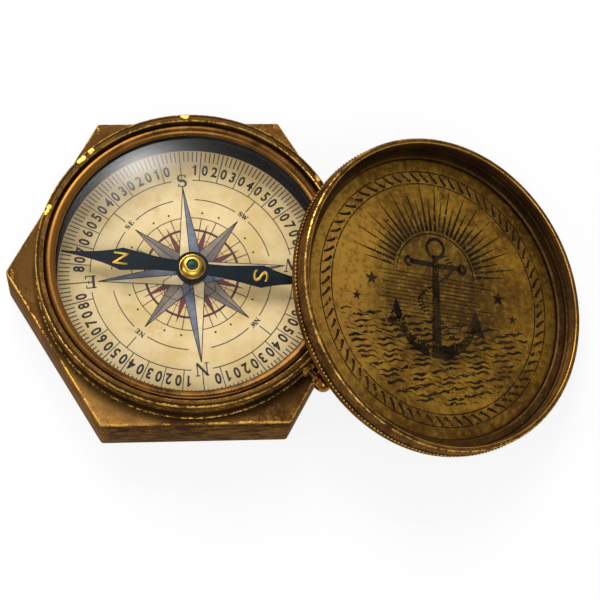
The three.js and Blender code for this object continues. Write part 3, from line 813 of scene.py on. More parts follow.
plain_brass = turned_brass("plain_brass", srgb(140, 100, 40), srgb(212, 168, 84), 0.35)
bright_brass = turned_brass("bright_brass", srgb(170, 122, 36), srgb(236, 192, 82), 0.3)
print("plain and bright brass ready")

# %% [markdown]
# ## The retaining ring
# A warm orange-brown ring holds the glass down. Its face slopes in to the glass, which the section
# shows. The finish paints a highlight along its inner lip and a lighter patch on its left side.

# %% Retaining ring
RETAINER_ROUND = 0.25
RETAINER_FACE = ((0, 0.5), (0.4, 0.1), (1.1, 0), (1.95, 0.25), (2.4, 0.7))  # inset and drop
# Where the painted highlight on the inner lip lies, and the spot of painted light on the left side.
LIP_AT = 0.3
RETAINER_LIT_SIDE = (175, 75)

retain_low, retain_high = size_of("retaining_ring")
outside, top = retain_high.x, retain_high.z
inside = outside - RETAINER_FACE[-1][0]
warm_brass = turned_brass(
    "warm_brass", srgb(54, 36, 16), srgb(140, 94, 40), 0.3, 0.85, (RETAINER_LIT_SIDE,), inside + LIP_AT)
glass_ring = turned([
    (inside, retain_low.z), (outside, retain_low.z),
    *[(outside - inset, top - drop) for inset, drop in RETAINER_FACE]], RETAINER_ROUND)
settle(glass_ring, "glass_ring", "case", warm_brass, ["retaining_ring"])

# %% [markdown]
# ## The glass
# The glass is flat in the middle and falls away gently to its edge, which bends the gleam of the lamp.
# It is thin, so it need not bend what lies below: the surface is see-through, and a Fresnel node lets
# a little mirror in. Only its outer faces mirror, or it would go dark inside.

# %% Glass
GLASS_FLAT = 20.0
GLASS_FALL = 0.45
GLASS_STEPS = 8
GLASS_EDGE = 0.3
GLASS_IOR = 1.3
BACKFACING = 6

glass_rim = glass_high.x - GLASS_EDGE


def glass_height(radius):
    """Height of the glass's upper face at a radius."""
    share = max(0, radius - GLASS_FLAT) / (glass_high.x - GLASS_FLAT)
    return glass_high.z - GLASS_FALL * share ** 2


dome = [GLASS_FLAT + (glass_rim - GLASS_FLAT) * step / GLASS_STEPS for step in range(GLASS_STEPS + 1)]
pane = turned([
    (0, glass_low.z), (glass_rim, glass_low.z), (glass_high.x, glass_low.z + GLASS_EDGE),
    (glass_high.x, glass_height(glass_high.x) - GLASS_EDGE),
    *[(radius, glass_height(radius)) for radius in reversed(dome)], (0, glass_high.z)])

clear_glass, point = new_finish("clear_glass")
smear = point.noise(60, detail=3)
front = 1 - point.node("NewGeometry", output=BACKFACING)
glint = point.node("Fresnel", {"IOR": GLASS_IOR}) * front
mirror = point.node("BsdfPrincipled", {
    "Base Color": WHITE, "Metallic": 1.0, "Roughness": 0.14 + 0.03 * smear})
shown(point.node("MixShader", {0: glint, 1: point.node("BsdfTransparent"), 2: mirror}))
settle(pane, "glass_pane", "case", clear_glass, ["crystal"])

# %% [markdown]
# ## The black sleeve
# A matt black sleeve keeps the glass off the dial and hides the wall of the case. It is turned with a
# small step half way up, and a slot behind leaves room for the knob's plunger.

# %% Sleeve
SLEEVE_THICK = 2.485
SLEEVE_SKIN = 0.5
SLEEVE_STEP, STEP_SIDE = 3.4, 0.35
SLEEVE_LIP, LIP_DROP = 0.8, 0.5
SLEEVE_ROUND = 0.1

sleeve_low, sleeve_high = size_of("inner_sleeve")
sleeve_inner = sleeve_high.x - SLEEVE_THICK
step_height = sleeve_low.z + SLEEVE_STEP
sleeve = turned([
    (sleeve_inner, sleeve_low.z), (sleeve_high.x, sleeve_low.z), (sleeve_high.x, sleeve_high.z),
    (sleeve_inner + SLEEVE_LIP, sleeve_high.z), (sleeve_inner + STEP_SIDE, sleeve_high.z - LIP_DROP),
    (sleeve_inner + STEP_SIDE, step_height + STEP_SIDE), (sleeve_inner, step_height)], SLEEVE_ROUND)
bored(sleeve, block(
    (sleeve_inner + SLEEVE_SKIN, -SLOT_SIDE, sleeve_low.z - BEYOND),
    (ring_foot, SLOT_SIDE, sleeve_high.z + BEYOND), LOCK_AZIMUTH))
clean(sleeve)

black_paint, point = new_finish("black_paint")
dust = point.noise(900, detail=4)
haze = point.noise(90, detail=3)
coat(point, {
    "Base Color": (dust * 0.6 + haze * 0.4).smooth(0.4, 0.7).mix(srgb(11, 10, 10), srgb(32, 30, 28)),
    "Roughness": 0.4 + 0.25 * haze,
    "Specular IOR Level": 0.03,
})
settle(sleeve, "black_sleeve", "case", black_paint, ["inner_sleeve"])

# %% [markdown]
# ## Drawing a print
# The dial is a parchment-coloured card with a compass rose. A print could be painted by nodes, but
# lines a quarter of a millimetre wide stay crisp from any distance as geometry, so each ink is a thin
# sheet that lies on the card. Straight lines and arcs are strips with a width, made from a grid of
# one row.

# %% Strips and arcs
ARC_STEP = 2.0


def strip(path, widths, level=0):
    """A flat strip along (x, y) points, with a width at each, made from a one-row grid."""
    count = len(path)
    unselect()
    bpy.ops.mesh.primitive_grid_add(x_subdivisions=count - 1, y_subdivisions=1, size=1)
    made = bpy.context.object
    closed = (Vector(path[0]) - Vector(path[-1])).length < MERGE
    for index, here in enumerate(path):
        before = path[index - 1] if index else path[-2 if closed else 0]
        after = path[index + 1] if index < count - 1 else path[1 if closed else -1]
        along = (Vector(after) - Vector(before)).normalized()
        side = Vector((-along.y, along.x)) * widths[index] / 2
        made.data.vertices[index].co = (*(Vector(here) - side), level)
        made.data.vertices[count + index].co = (*(Vector(here) + side), level)
    return made


def line(start, end, width, level=0, end_width=None):
    return strip([start, end], [width, width if end_width is None else end_width], level)


def on_circle(angle, radius, centre=(0, 0)):
    """Point on a circle at an angle in radians."""
    return (centre[0] + radius * math.cos(angle), centre[1] + radius * math.sin(angle))


def arc_path(radius, start, end, centre=(0, 0)):
    """Points on an arc between two angles in degrees."""
    count = max(2, round(abs(end - start) / ARC_STEP))
    return [on_circle(math.radians(start + (end - start) * step / count), radius, centre)
            for step in range(count + 1)]


def arc(radius, start, end, width, level=0, centre=(0, 0)):
    path = arc_path(radius, start, end, centre)
    return strip(path, [width] * len(path), level)


print("strips and arcs ready")

# %% [markdown]
# ## Copies and sheets of ink
# Whatever goes round the dial is drawn once and copied by Spin. Bearings run clockwise from the
# dial's north, as on any compass. The drawings of one ink are joined and get a hair of thickness.

# %% Copies and sheets of ink
INK_THICK = 0.008
DIAL_NORTH = -85.6


def shape(points, level=0):
    """A filled flat outline."""
    return drawn_loop([(x, y, level) for x, y in points], fill="NGON")


def copied_round(piece, count, sweep=360):
    """Copies a drawing round the Z axis, so that there are count of it over the sweep."""
    with editing(piece):
        bpy.ops.mesh.spin(
            steps=count - 1, dupli=True, angle=math.radians(sweep) * (count - 1) / count, **UPRIGHT)
    return piece


def duplicate(piece):
    hold(piece)
    bpy.ops.object.duplicate()
    return bpy.context.object


def polar(bearing, radius):
    """Point of the dial at a bearing in degrees."""
    return on_circle(math.radians(DIAL_NORTH - bearing), radius)


def at_bearing(piece, bearing, radius):
    """Puts a centred drawing on the dial with its top outwards."""
    piece.rotation_euler.z = math.radians(DIAL_NORTH - bearing) - math.pi / 2
    piece.location.xy = polar(bearing, radius)
    return piece


def printed(pieces, thickness=INK_THICK):
    """Joins drawings into one sheet of ink with a little thickness."""
    return finished(joined(pieces), "SOLIDIFY", thickness=thickness, offset=1)


print("north on the dial points to", DIAL_NORTH, "degrees")

# %% [markdown]
# ## Figures
# The figures are plain, so Blender's own font gives them. A text object is made a mesh at once and
# scaled until a capital has the height asked for. A small offset of its outline makes it bolder.

# %% Figures
GLYPH_HEIGHT = 0.7
GLYPH_STEPS = 3


def glyph(text, height, squeeze=1.0, level=0, weight=0.028):
    """Letters or digits as a flat mesh, centred, with the given height for a capital."""
    unselect()
    bpy.ops.object.text_add()
    made = bpy.context.object
    made.data.body = text
    made.data.align_x = "CENTER"
    made.data.align_y = "CENTER"
    made.data.resolution_u = GLYPH_STEPS
    made.data.offset = weight
    bpy.ops.object.convert(target="MESH")
    made = bpy.context.object
    factor = height / GLYPH_HEIGHT
    made.scale = (factor * squeeze, factor, 1)
    made.location.z = level
    bpy.ops.object.transform_apply()
    return made


print("figures ready")

# %% [markdown]
# ## Letters with serifs
# The letters for the directions have thick and thin strokes with serifs. Each is a handful of
# straight strokes in a square one unit high. Only S is a curve, which swells where its two bowls
# meet.

# %% Letters with serifs
BOWL, BOWL_WIDE, BOWL_RISE = 0.255, 1.12, 0.235
BOWL_START, BOWL_SWEEP, BOWL_STEPS = 25, 245, 9
THIN, SWELL = 0.06, 0.13
S_SERIF = ((0.29, 0.5), (0.27, 0.22))
SERIF_STROKES = {
    # letter: strokes from (x, y) to (x, y) with a width, in a square one unit high
    "N": (((-0.36, -0.5), (-0.36, 0.5), 0.07), ((0.36, -0.5), (0.36, 0.5), 0.07),
          ((-0.38, 0.47), (0.36, -0.47), 0.17), ((-0.52, 0.48), (-0.26, 0.48), 0.06),
          ((0.2, 0.48), (0.52, 0.48), 0.06), ((-0.52, -0.48), (-0.2, -0.48), 0.06)),
    "E": (((-0.2, -0.5), (-0.2, 0.5), 0.17), ((-0.4, 0.47), (0.34, 0.47), 0.07),
          ((-0.4, -0.47), (0.38, -0.47), 0.07), ((-0.2, 0.02), (0.18, 0.02), 0.07),
          ((0.34, 0.5), (0.34, 0.26), 0.07), ((0.38, -0.5), (0.38, -0.24), 0.07),
          ((0.18, 0.14), (0.18, -0.1), 0.06)),
    "W": (((-0.5, 0.48), (-0.24, -0.5), 0.16), ((-0.24, -0.5), (0.0, 0.4), 0.06),
          ((0.0, 0.4), (0.24, -0.5), 0.16), ((0.24, -0.5), (0.5, 0.48), 0.06),
          ((-0.66, 0.48), (-0.32, 0.48), 0.06), ((0.34, 0.48), (0.66, 0.48), 0.06)),
}


def serif_letter(letter, height, level, weight):
    """A capital with thick and thin strokes."""
    if letter == "S":
        bowl = [on_circle(math.radians(BOWL_START + BOWL_SWEEP * step / BOWL_STEPS), BOWL)
                for step in range(BOWL_STEPS + 1)]
        upper = [(BOWL_WIDE * x, BOWL_RISE + y) for x, y in bowl]
        path = upper + [(-x, -y) for x, y in reversed(upper[:-1])]
        last = len(path) - 1
        widths = [weight * (THIN + SWELL * math.sin(math.pi * index / last) ** 2)
                  for index in range(len(path))]
        pieces = [strip(path, widths, level)]
        for sign in (1, -1):
            start, end = ((sign * x, sign * y) for x, y in S_SERIF)
            pieces.append(line(start, end, THIN * weight, level))
    else:
        pieces = [line(start, end, width * weight, level)
                  for start, end, width in SERIF_STROKES[letter]]
    made = joined(pieces)
    made.scale = (height, height, 1)
    bpy.ops.object.transform_apply()
    return made


print("letters", "S", *SERIF_STROKES)

# %% [markdown]
# ## The scale
# A line for every second degree runs round the edge, with longer lines at the tens. The tens are
# counted from the north and the south to the east and the west, so eight lines are drawn in one
# quadrant and copied into four.

# %% Scale
TICK_OUTER, TICK_INNER, TICK_LINE = 31.2, 28.6, 0.24
TICK_COUNT = 180
NUMBER_CIRCLE, CIRCLE_LINE, CIRCLE_GAP = 23.8, 0.2, 6
TENS_LINE, LAST_TEN = 0.19, 80
LETTER_TOP = 25.5
INK_LEVEL = 0.05
TENS_LEVEL, TEXT_LEVEL, FLAG_LEVEL = INK_LEVEL + 0.002, INK_LEVEL + 0.004, INK_LEVEL + 0.006

last_line = line(polar(LAST_TEN, NUMBER_CIRCLE), polar(LAST_TEN, TICK_OUTER), TENS_LINE, TENS_LEVEL)
number_arc = arc(
    NUMBER_CIRCLE, DIAL_NORTH + CIRCLE_GAP, DIAL_NORTH + 90 - CIRCLE_GAP, CIRCLE_LINE, TEXT_LEVEL)
ink = [
    copied_round(line(polar(0, TICK_INNER), polar(0, TICK_OUTER), TICK_LINE, INK_LEVEL), TICK_COUNT),
    copied_round(copied_round(last_line, LAST_TEN // 10, LAST_TEN), 4),
    copied_round(line(polar(0, LETTER_TOP), polar(0, TICK_OUTER), TENS_LINE, TENS_LEVEL), 4),
    copied_round(number_arc, 4),
]
print("scale of", TICK_COUNT, "lines")

# %% [markdown]
# ## Numbers and letters on the dial
# Each figure is made once and copied to its four places. The two figures of a number stand on either
# side of its line. The font's 1 is a bare stroke, so it gets a flag.

# %% Numbers and letters
NUMBER_RADIUS, NUMBER_HEIGHT, NUMBER_SQUEEZE = 26.3, 2.5, 0.82
NUMBER_SPREAD = 2.5
FLAG = ((-0.6, 0.72), (-0.04, 1.16), 0.34)
LETTER_RADIUS, LETTER_HEIGHT, LETTER_WEIGHT = 23.7, 3.1, 1.15
PAIR_RADIUS, PAIR_HEIGHT, PAIR_WEIGHT, PAIR_SPREAD = 19.1, 1.15, 1.7, 1.9

zero = glyph("0", NUMBER_HEIGHT, NUMBER_SQUEEZE, TEXT_LEVEL)
for tens in range(1, LAST_TEN // 10 + 1):
    digit = glyph(str(tens), NUMBER_HEIGHT, NUMBER_SQUEEZE, TEXT_LEVEL)
    if tens == 1:
        digit = joined([digit, line(*FLAG, FLAG_LEVEL)])
    for bearing in (10 * tens, -10 * tens, 180 + 10 * tens, 180 - 10 * tens):
        ink.append(at_bearing(duplicate(digit), bearing - NUMBER_SPREAD, NUMBER_RADIUS))
        ink.append(at_bearing(duplicate(zero), bearing + NUMBER_SPREAD, NUMBER_RADIUS))
    discard(digit)
discard(zero)
for letter, bearing in zip("NESW", (0, 90, 180, 270)):
    capital = serif_letter(letter, LETTER_HEIGHT, TEXT_LEVEL, LETTER_WEIGHT)
    ink.append(at_bearing(capital, bearing, LETTER_RADIUS))
    capital.rotation_euler.z = math.radians(DIAL_NORTH - 90)
for pair, bearing in (("NE", 45), ("SE", 135), ("SW", 225), ("NW", 315)):
    for letter, shift in zip(pair, (-PAIR_SPREAD, PAIR_SPREAD)):
        small = serif_letter(letter, PAIR_HEIGHT, TEXT_LEVEL, PAIR_WEIGHT)
        ink.append(at_bearing(small, bearing + shift, PAIR_RADIUS))
print(len(ink), "drawings of scale, numbers and letters")

# %% [markdown]
# ## The compass rose
# The rose has four long points, half cream and half blue-grey, over four shorter taupe ones. Each
# layer lies a hair above the one below, as overprinted inks do. Half a point is a triangle, and Spin
# copies it to the other three. Two outlined hexagons lie below the middle.

# %% Star points
MAIN_TIP, MAIN_CORNER = 22.0, 3.9
CORNER_TIP, CORNER_BASE = 17.2, 3.6
OUTLINE = 0.2
CELL_RADIUS = 3.46
CELLS = ((3.1, -3.9), (3.1, 2.1))
RED_LEVEL, TAUPE_LEVEL, BLUE_LEVEL = 0.01, 0.022, 0.034


def half_points(bearing, tip, base, side, level):
    """Halves of four star points: from the middle to the tip and to the base corner on one side."""
    return copied_round(shape([(0, 0), polar(bearing, tip), polar(bearing + side * 45, base)], level), 4)


def outlines(bearing, tip, base, level):
    """Thin lines round four star points and down their middles."""
    peak = polar(bearing, tip)
    ends = (polar(bearing + 45, base), polar(bearing - 45, base), (0, 0))
    return copied_round(joined([line(peak, end, OUTLINE, level) for end in ends]), 4)


blue = [half_points(0, MAIN_TIP, MAIN_CORNER, 1, BLUE_LEVEL)]
cream = [half_points(0, MAIN_TIP, MAIN_CORNER, -1, BLUE_LEVEL)]
taupe = [half_points(45, CORNER_TIP, CORNER_BASE, 1, TAUPE_LEVEL)]
fawn = [half_points(45, CORNER_TIP, CORNER_BASE, -1, TAUPE_LEVEL)]
ink.append(outlines(0, MAIN_TIP, MAIN_CORNER, BLUE_LEVEL + INK_THICK))
ink.append(outlines(45, CORNER_TIP, CORNER_BASE, TAUPE_LEVEL + INK_THICK))
for along, across in CELLS:
    middle = Vector(polar(0, along)) + Vector(polar(-90, across))
    corners = [tuple(middle + Vector(polar(60 * side, CELL_RADIUS))) for side in range(7)]
    ink.append(strip(corners, [OUTLINE] * len(corners), INK_LEVEL))
print("eight star points, the longest", MAIN_TIP, "mm")

# %% [markdown]
# ## Rings round the rose
# Under the star lies a dark red ring with eight spikes and fine spokes. Round it run a thin circle, a
# row of dots and broken arcs. All are strips and small shapes, again drawn once and copied.

# %% Rings round the rose
RED_CIRCLE, RED_LINE = 11.0, 0.58
INNER_CIRCLE, INNER_LINE = 8.7, 0.14
SPIKE_BEARING, SPIKE_TIP, SPIKE_BASE, SPIKE_HALF, SPIKE_ROOT = 22.5, 12.9, 5.4, 0.95, 3.9
SPOKE_CIRCLE, SPOKE_COUNT, SPOKE_LINE = 14.1, 24, 0.16
FINE_LINE = 0.21
ARC_CIRCLE, ARC_SPANS = 18.8, ((8, 39), (51, 82))
DIAGONAL_START = 20.3
DOT_CIRCLE, DOT_RADIUS, DOT_BEARINGS = 15.5, 0.26, (15, 60, 30, 75)
RING_LEVEL = RED_LEVEL + 0.002

maroon = [arc(RED_CIRCLE, 0, 360, RED_LINE, RING_LEVEL)]
spike_middle = Vector(polar(SPIKE_BEARING, SPIKE_BASE))
spike_side = spike_middle.orthogonal().normalized() * SPIKE_HALF
spike = [polar(SPIKE_BEARING, SPIKE_TIP), tuple(spike_middle - spike_side),
         polar(SPIKE_BEARING, SPIKE_ROOT), tuple(spike_middle + spike_side)]
inner_spoke = line(polar(15, SPIKE_BASE), polar(15, RED_CIRCLE), SPOKE_LINE, RED_LEVEL)
outer_spoke = line(polar(15, RED_CIRCLE), polar(15, SPOKE_CIRCLE), FINE_LINE, RING_LEVEL)
red = [
    copied_round(shape(spike, RED_LEVEL + 0.001), 8),
    copied_round(inner_spoke, SPOKE_COUNT),
    arc(INNER_CIRCLE, 0, 360, INNER_LINE, RED_LEVEL),
]
ink.append(copied_round(outer_spoke, SPOKE_COUNT))
ink.append(arc(SPOKE_CIRCLE, 0, 360, FINE_LINE, RING_LEVEL))
for start, end in ARC_SPANS:
    span = arc(ARC_CIRCLE, DIAL_NORTH + start, DIAL_NORTH + end, FINE_LINE, INK_LEVEL)
    ink.append(copied_round(span, 4))
diagonal = line(polar(45, DIAGONAL_START), polar(45, NUMBER_CIRCLE), FINE_LINE, INK_LEVEL)
ink.append(copied_round(diagonal, 4))
for bearing in DOT_BEARINGS:
    dot = arc_path(DOT_RADIUS, 0, 330, polar(bearing, DOT_CIRCLE))[::15]
    ink.append(copied_round(shape(dot, INK_LEVEL), 4))
print(len(ink), "drawings of ink in all")

# %% [markdown]
# ## Inks
# Ink soaks into card unevenly. Each ink is a sheet of its own, so its colour is a finish of its own:
# two tones of it, mixed by a noise.

# %% Inks
INKS = (
    # name, drawings, darker and lighter tone
    ("dial_ink", ink, srgb(30, 26, 25), srgb(58, 48, 41)),
    ("dial_blue", blue, srgb(92, 99, 114), srgb(118, 124, 137)),
    ("dial_cream", cream, srgb(222, 196, 140), srgb(234, 213, 167)),
    ("dial_taupe", taupe, srgb(104, 92, 82), srgb(126, 112, 99)),
    ("dial_fawn", fawn, srgb(126, 112, 98), srgb(148, 132, 113)),
    ("dial_red", red, srgb(84, 30, 29), srgb(116, 46, 42)),
    ("dial_maroon", maroon, srgb(62, 28, 27), srgb(86, 38, 35)),
)

card_high = size_of("dial_card")[1]
on_card = Matrix.Translation((0, 0, card_high.z * MM))
for name, drawings, dark, light in INKS:
    soaked, point = new_finish(name)
    soak = point.noise(420, detail=4)
    coat(point, {"Base Color": soak.smooth(0.35, 0.7).mix(dark, light), "Roughness": 0.55 + 0.2 * soak})
    settle(printed(drawings), name, "case", soaked, place=on_card)

# %% [markdown]
# ## The card
# Old card is blotched, foxed and darker at its edge. Noises of three sizes give its fibres, its
# blotches and its foxing, and the distance from the middle gives its edge. The card keeps its CAD
# shape, so only its finish is made here.

# %% Card
CARD_EDGE = (24, 33)

parchment, point = new_finish("parchment")
fibre = point.noise(1100, detail=5, roughness=0.7)
blotch = point.noise(95, detail=5, roughness=0.62)
foxing = point.noise(330, detail=4, roughness=0.6)
aged = blotch.smooth(0.36, 0.64).mix(srgb(213, 183, 119), srgb(229, 204, 151))
aged = (foxing.smooth(0.58, 0.74) * 0.4).mix(aged, srgb(192, 154, 92))
aged = (point.radius().smooth(*CARD_EDGE) * 0.35).mix(aged, srgb(214, 178, 116))
coat(point, {
    "Base Color": (fibre.smooth(0.55, 0.8) * 0.3).mix(aged, srgb(190, 158, 106)),
    "Roughness": 0.62 + 0.2 * fibre,
    "Normal": relief(fibre, 0.02, 0.35),
})
print("parchment ready for a card", round(card_high.x * 2, 1), "mm across")

# %% [markdown]
# ## The needle
# The needle is a flat blued blade: a round hub, two arms that widen to a shoulder, and long drawn-out
# tips. Its outline starts as a filled loop, is extruded to its thickness and bevelled. The shoulders
# run into the tips on a curve, for which a quadratic Bezier is enough.

# %% Needle blade
NEEDLE_HEADING = math.radians(171.5)
NEEDLE_TIP = (30.7, 0.1)
SHOULDER = (16.6, 2.75)
SHOULDER_BEND = (21.5, 0.75)
WAIST = (8.0, 1.55)
HUB_RADIUS, HUB_JOIN, HUB_STEPS = 3.95, 1.35, 12
STEM_HOLE, STEM_REACH = 2.3, 4
BLADE_ROUND = {"width": 0.12, "segments": 2, "limit_method": "ANGLE", "angle_limit": math.radians(40)}
CURVE_STEPS = 8


def bezier(start, bend, end):
    """Points on a quadratic curve, without its start."""
    start, bend, end = Vector(start), Vector(bend), Vector(end)
    shares = [step / CURVE_STEPS for step in range(1, CURVE_STEPS + 1)]
    return [tuple(start * (1 - t) ** 2 + bend * 2 * t * (1 - t) + end * t * t) for t in shares]


needle_low, needle_high = size_of("needle")
thickness = needle_high.z - needle_low.z
arm = [(math.sqrt(HUB_RADIUS ** 2 - HUB_JOIN ** 2), HUB_JOIN), WAIST, SHOULDER]
arm += bezier(SHOULDER, SHOULDER_BEND, NEEDLE_TIP)
join_angle = math.atan2(HUB_JOIN, arm[0][0])
hub = [on_circle(join_angle + (math.pi - 2 * join_angle) * step / HUB_STEPS, HUB_RADIUS)
       for step in range(1, HUB_STEPS)]
upper = list(reversed(arm)) + hub + [(-x, y) for x, y in arm]
blade = shape(upper + [(-x, -y) for x, y in upper])
with editing(blade):
    bpy.ops.mesh.extrude_region_move(TRANSFORM_OT_translate={"value": (0, 0, thickness)})
clean(blade)
bored(blade, rod(STEM_HOLE, STEM_REACH))
clean(finished(blade, "BEVEL", **BLADE_ROUND))
on_needle = Matrix.Translation((0, 0, needle_low.z * MM)) @ Matrix.Rotation(NEEDLE_HEADING, 4, "Z")
print("needle", NEEDLE_TIP[0] * 2, "mm long")

# %% [markdown]
# ## Blued steel
# Steel that is heated until it turns blue keeps a thin dark skin. It is nearly black, with a bloom of
# blue in it and pale specks where the skin is scratched.

# %% Blued steel
blued, point = new_finish("blued_steel")
bloom = point.noise(140, detail=4)
specks = point.noise(1600, detail=3, roughness=0.7)
tone = bloom.smooth(0.35, 0.66).mix(srgb(2, 10, 17), srgb(9, 22, 33))
coat(point, {
    "Base Color": (specks.smooth(0.68, 0.8) * 0.5).mix(tone, srgb(70, 80, 90)),
    "Metallic": 0.1,
    "Specular IOR Level": 0.06,
    "Roughness": 0.4 + 0.2 * bloom,
    "Normal": relief(specks, 0.02, 0.3),
})
settle(blade, "needle_blade", "needle", blued, ["needle"], on_needle)

# %% [markdown]
# ## Letters on the needle
# A gilt letter lies on each arm, its top towards the tip. It is a glyph with a little thickness, so
# that it catches the light at its edges.

# %% Needle letters
NEEDLE_LETTER_HEIGHT = 3.5
NEEDLE_LETTERS = (("N", 16.6, 0.92), ("S", -15.9, 1.45))
LETTER_PROUD = 0.05

letters = []
for text, place, squeeze in NEEDLE_LETTERS:
    mark = glyph(text, NEEDLE_LETTER_HEIGHT, squeeze, thickness, weight=0.004)
    mark.rotation_euler.z = math.copysign(math.pi / 2, -place)
    mark.location.x = place
    letters.append(mark)
letter_gold = turned_brass("letter_gold", srgb(190, 146, 44), srgb(244, 204, 92), 0.45, metallic=0.4)
settle(printed(letters, LETTER_PROUD), "needle_letters", "needle", letter_gold,
       place=on_needle)

# %% [markdown]
# ## The cap
# The needle hangs on a domed brass cap that goes through its hub and is riveted below. The dome is a
# quarter of an ellipse in the section, from the brim up to the hole for the jewel.

# %% Cap
CAP_RADIUS, CAP_BRIM, CAP_BORE, CAP_SHOULDER, CAP_ROUND = 3.1, 0.5, 1.1, 0.25, 0.08
STEM, RIVET, RIVET_THICK = 2.0, 2.6, 0.4
JEWEL_BORE = 1.4
DOME_STEPS = 8

cap_low, cap_high = size_of("needle_cap")
jewel_low, jewel_high = size_of("cap_jewel")
brim_top = needle_high.z + CAP_BRIM
rivet_top = cap_low.z + RIVET_THICK
dome_wide, dome_high = CAP_RADIUS - CAP_SHOULDER - JEWEL_BORE, cap_high.z - brim_top
quarter = [on_circle(math.pi / 2 * step / DOME_STEPS, 1) for step in range(DOME_STEPS + 1)]
cap = turned([
    (CAP_BORE, cap_low.z), (RIVET, cap_low.z), (RIVET, rivet_top), (STEM, rivet_top),
    (STEM, needle_high.z), (CAP_RADIUS, needle_high.z), (CAP_RADIUS, brim_top),
    *[(JEWEL_BORE + dome_wide * x, brim_top + dome_high * y) for x, y in quarter],
    (JEWEL_BORE, jewel_low.z), (CAP_BORE, jewel_low.z)], CAP_ROUND, FINE_STEPS)
settle(cap, "brass_cap", "needle", bright_brass, ["needle_cap"])

# %% [markdown]
# ## The jewel
# A green stone in the cap runs on the steel point. It has a crowned top and a coned cup below, both in
# one section. The stone is dark in its middle and paler round it.

# %% Jewel
JEWEL_RADIUS, JEWEL_CROWN = 1.35, 0.35
CUP_RADIUS, CUP_DEPTH = 0.8, 0.8

crown_low = jewel_high.z - JEWEL_CROWN
stone = turned([
    (0, jewel_low.z + CUP_DEPTH), (CUP_RADIUS, jewel_low.z), (JEWEL_RADIUS, jewel_low.z),
    *[(JEWEL_RADIUS * x, crown_low + JEWEL_CROWN * y) for x, y in quarter]], 0, FINE_STEPS)
green_glass, point = new_finish("green_glass")
flaw = point.noise(900, detail=3)
deep = point.radius().smooth(0.45, 0.95).mix(srgb(3, 20, 11), srgb(10, 70, 38))
coat(point, {
    "Base Color": flaw.smooth(0.4, 0.7).mix(deep, srgb(8, 54, 33)),
    "Roughness": 0.26 + 0.15 * flaw,
    "Specular IOR Level": 0.2,
})
settle(stone, "jewel_stone", "needle", green_glass, ["cap_jewel"])

# %% [markdown]
# ## The knob
# The knob beside the ring is a small turned piece with a collar, a groove and a round head. It is
# spun upright and then laid along its radius.

# %% Knob
KNOB_START, KNOB_LENGTH, KNOB_RADIUS, KNOB_ROUND = 38.835, 4.4, 2.0, 0.07
KNOB_HOLE, KNOB_DEPTH = 1.0, 2.7
COLLAR, COLLAR_TOP = 1.65, 0.7
GROOVE, GROOVE_AT, HEAD_AT = 1.3, 0.95, 1.3

head = [(KNOB_RADIUS * x, KNOB_LENGTH - KNOB_RADIUS * (1 - y)) for x, y in quarter[:-1]]
knob = turned([
    (0, KNOB_DEPTH), (KNOB_HOLE, KNOB_DEPTH), (KNOB_HOLE, 0), (COLLAR, 0), (COLLAR, COLLAR_TOP),
    (GROOVE, GROOVE_AT), (KNOB_RADIUS, HEAD_AT), *head, (0, KNOB_LENGTH)], KNOB_ROUND, FINE_STEPS)
along_lock = Matrix.Translation((lock_way * KNOB_START + Vector((0, 0, lock_height))) * MM)
along_lock = along_lock @ Euler((0, math.pi / 2, LOCK_AZIMUTH)).to_matrix().to_4x4()
knob_brass = turned_brass("knob_brass", srgb(120, 78, 28), srgb(216, 160, 68), 0.2)
settle(knob, "lock_head", "lock", knob_brass, ["lock_knob"], along_lock)

# %% [markdown]
# ## The lid's hoop
# The lid is modelled about its own axis with its back down, and then leaned against the ring. Its
# hoop is spun and threaded inside like the ring, with a ledge that holds the plate and a groove
# outside for a row of beads.

# %% Lid hoop
LID_TURN = (0, math.radians(23.5), math.radians(-8))
LID_RADIUS, LID_BORE, LID_HEIGHT = 37.885, 36.285, 6.3
LEDGE_RADIUS, LEDGE_LOW, LEDGE_TOP, LEDGE_SLOPE = 33.985, 1.5, 2.4, 0.5
DISC_RADIUS, DISC_THICK = 36.585, 1.2
LID_ROUND = 0.15
LID_EDGE = 0.4
GROOVE_DEPTH, GROOVE_LOW, GROOVE_TOP, GROOVE_SIDE = 0.2, 1.7, 2.9, 0.15
LID_THREAD_LOW, LID_THREAD_GAP, RUN_OUT, LEAD_IN = 2.9, 0.35, 0.2, 0.1

lean = Euler(LID_TURN).to_matrix()
disc_low, disc_high = size_of("lid_disc")
lid_back = (disc_low + disc_high) / 2 - lean @ Vector((0, 0, 1)) * DISC_THICK / 2
LID_PLACE = tuple(lid_back * MM)
leaning = Matrix.Translation(LID_PLACE) @ lean.to_4x4()

rabbet = DISC_RADIUS + FIT_GAP
root = LID_BORE + THREAD_DEPTH
lid_thread_high = LID_HEIGHT - LID_THREAD_GAP
groove_floor = LID_RADIUS - GROOVE_DEPTH
hoop = turned([
    (rabbet, 0), (LID_RADIUS - LID_EDGE, 0), (LID_RADIUS, LID_EDGE), (LID_RADIUS, GROOVE_LOW),
    (groove_floor, GROOVE_LOW + GROOVE_SIDE), (groove_floor, GROOVE_TOP - GROOVE_SIDE),
    (LID_RADIUS, GROOVE_TOP), (LID_RADIUS, LID_HEIGHT - LID_EDGE), (LID_RADIUS - LID_EDGE, LID_HEIGHT),
    (root + LEAD_IN, LID_HEIGHT), *thread_rows(root, lid_thread_high, LID_THREAD_LOW),
    (LID_BORE, LID_THREAD_LOW - RUN_OUT), (LID_BORE, LEDGE_TOP), (LEDGE_RADIUS + LEDGE_SLOPE, LEDGE_TOP),
    (LEDGE_RADIUS, LEDGE_TOP - LEDGE_SLOPE), (LEDGE_RADIUS, LEDGE_LOW), (rabbet, LEDGE_LOW)], LID_ROUND)
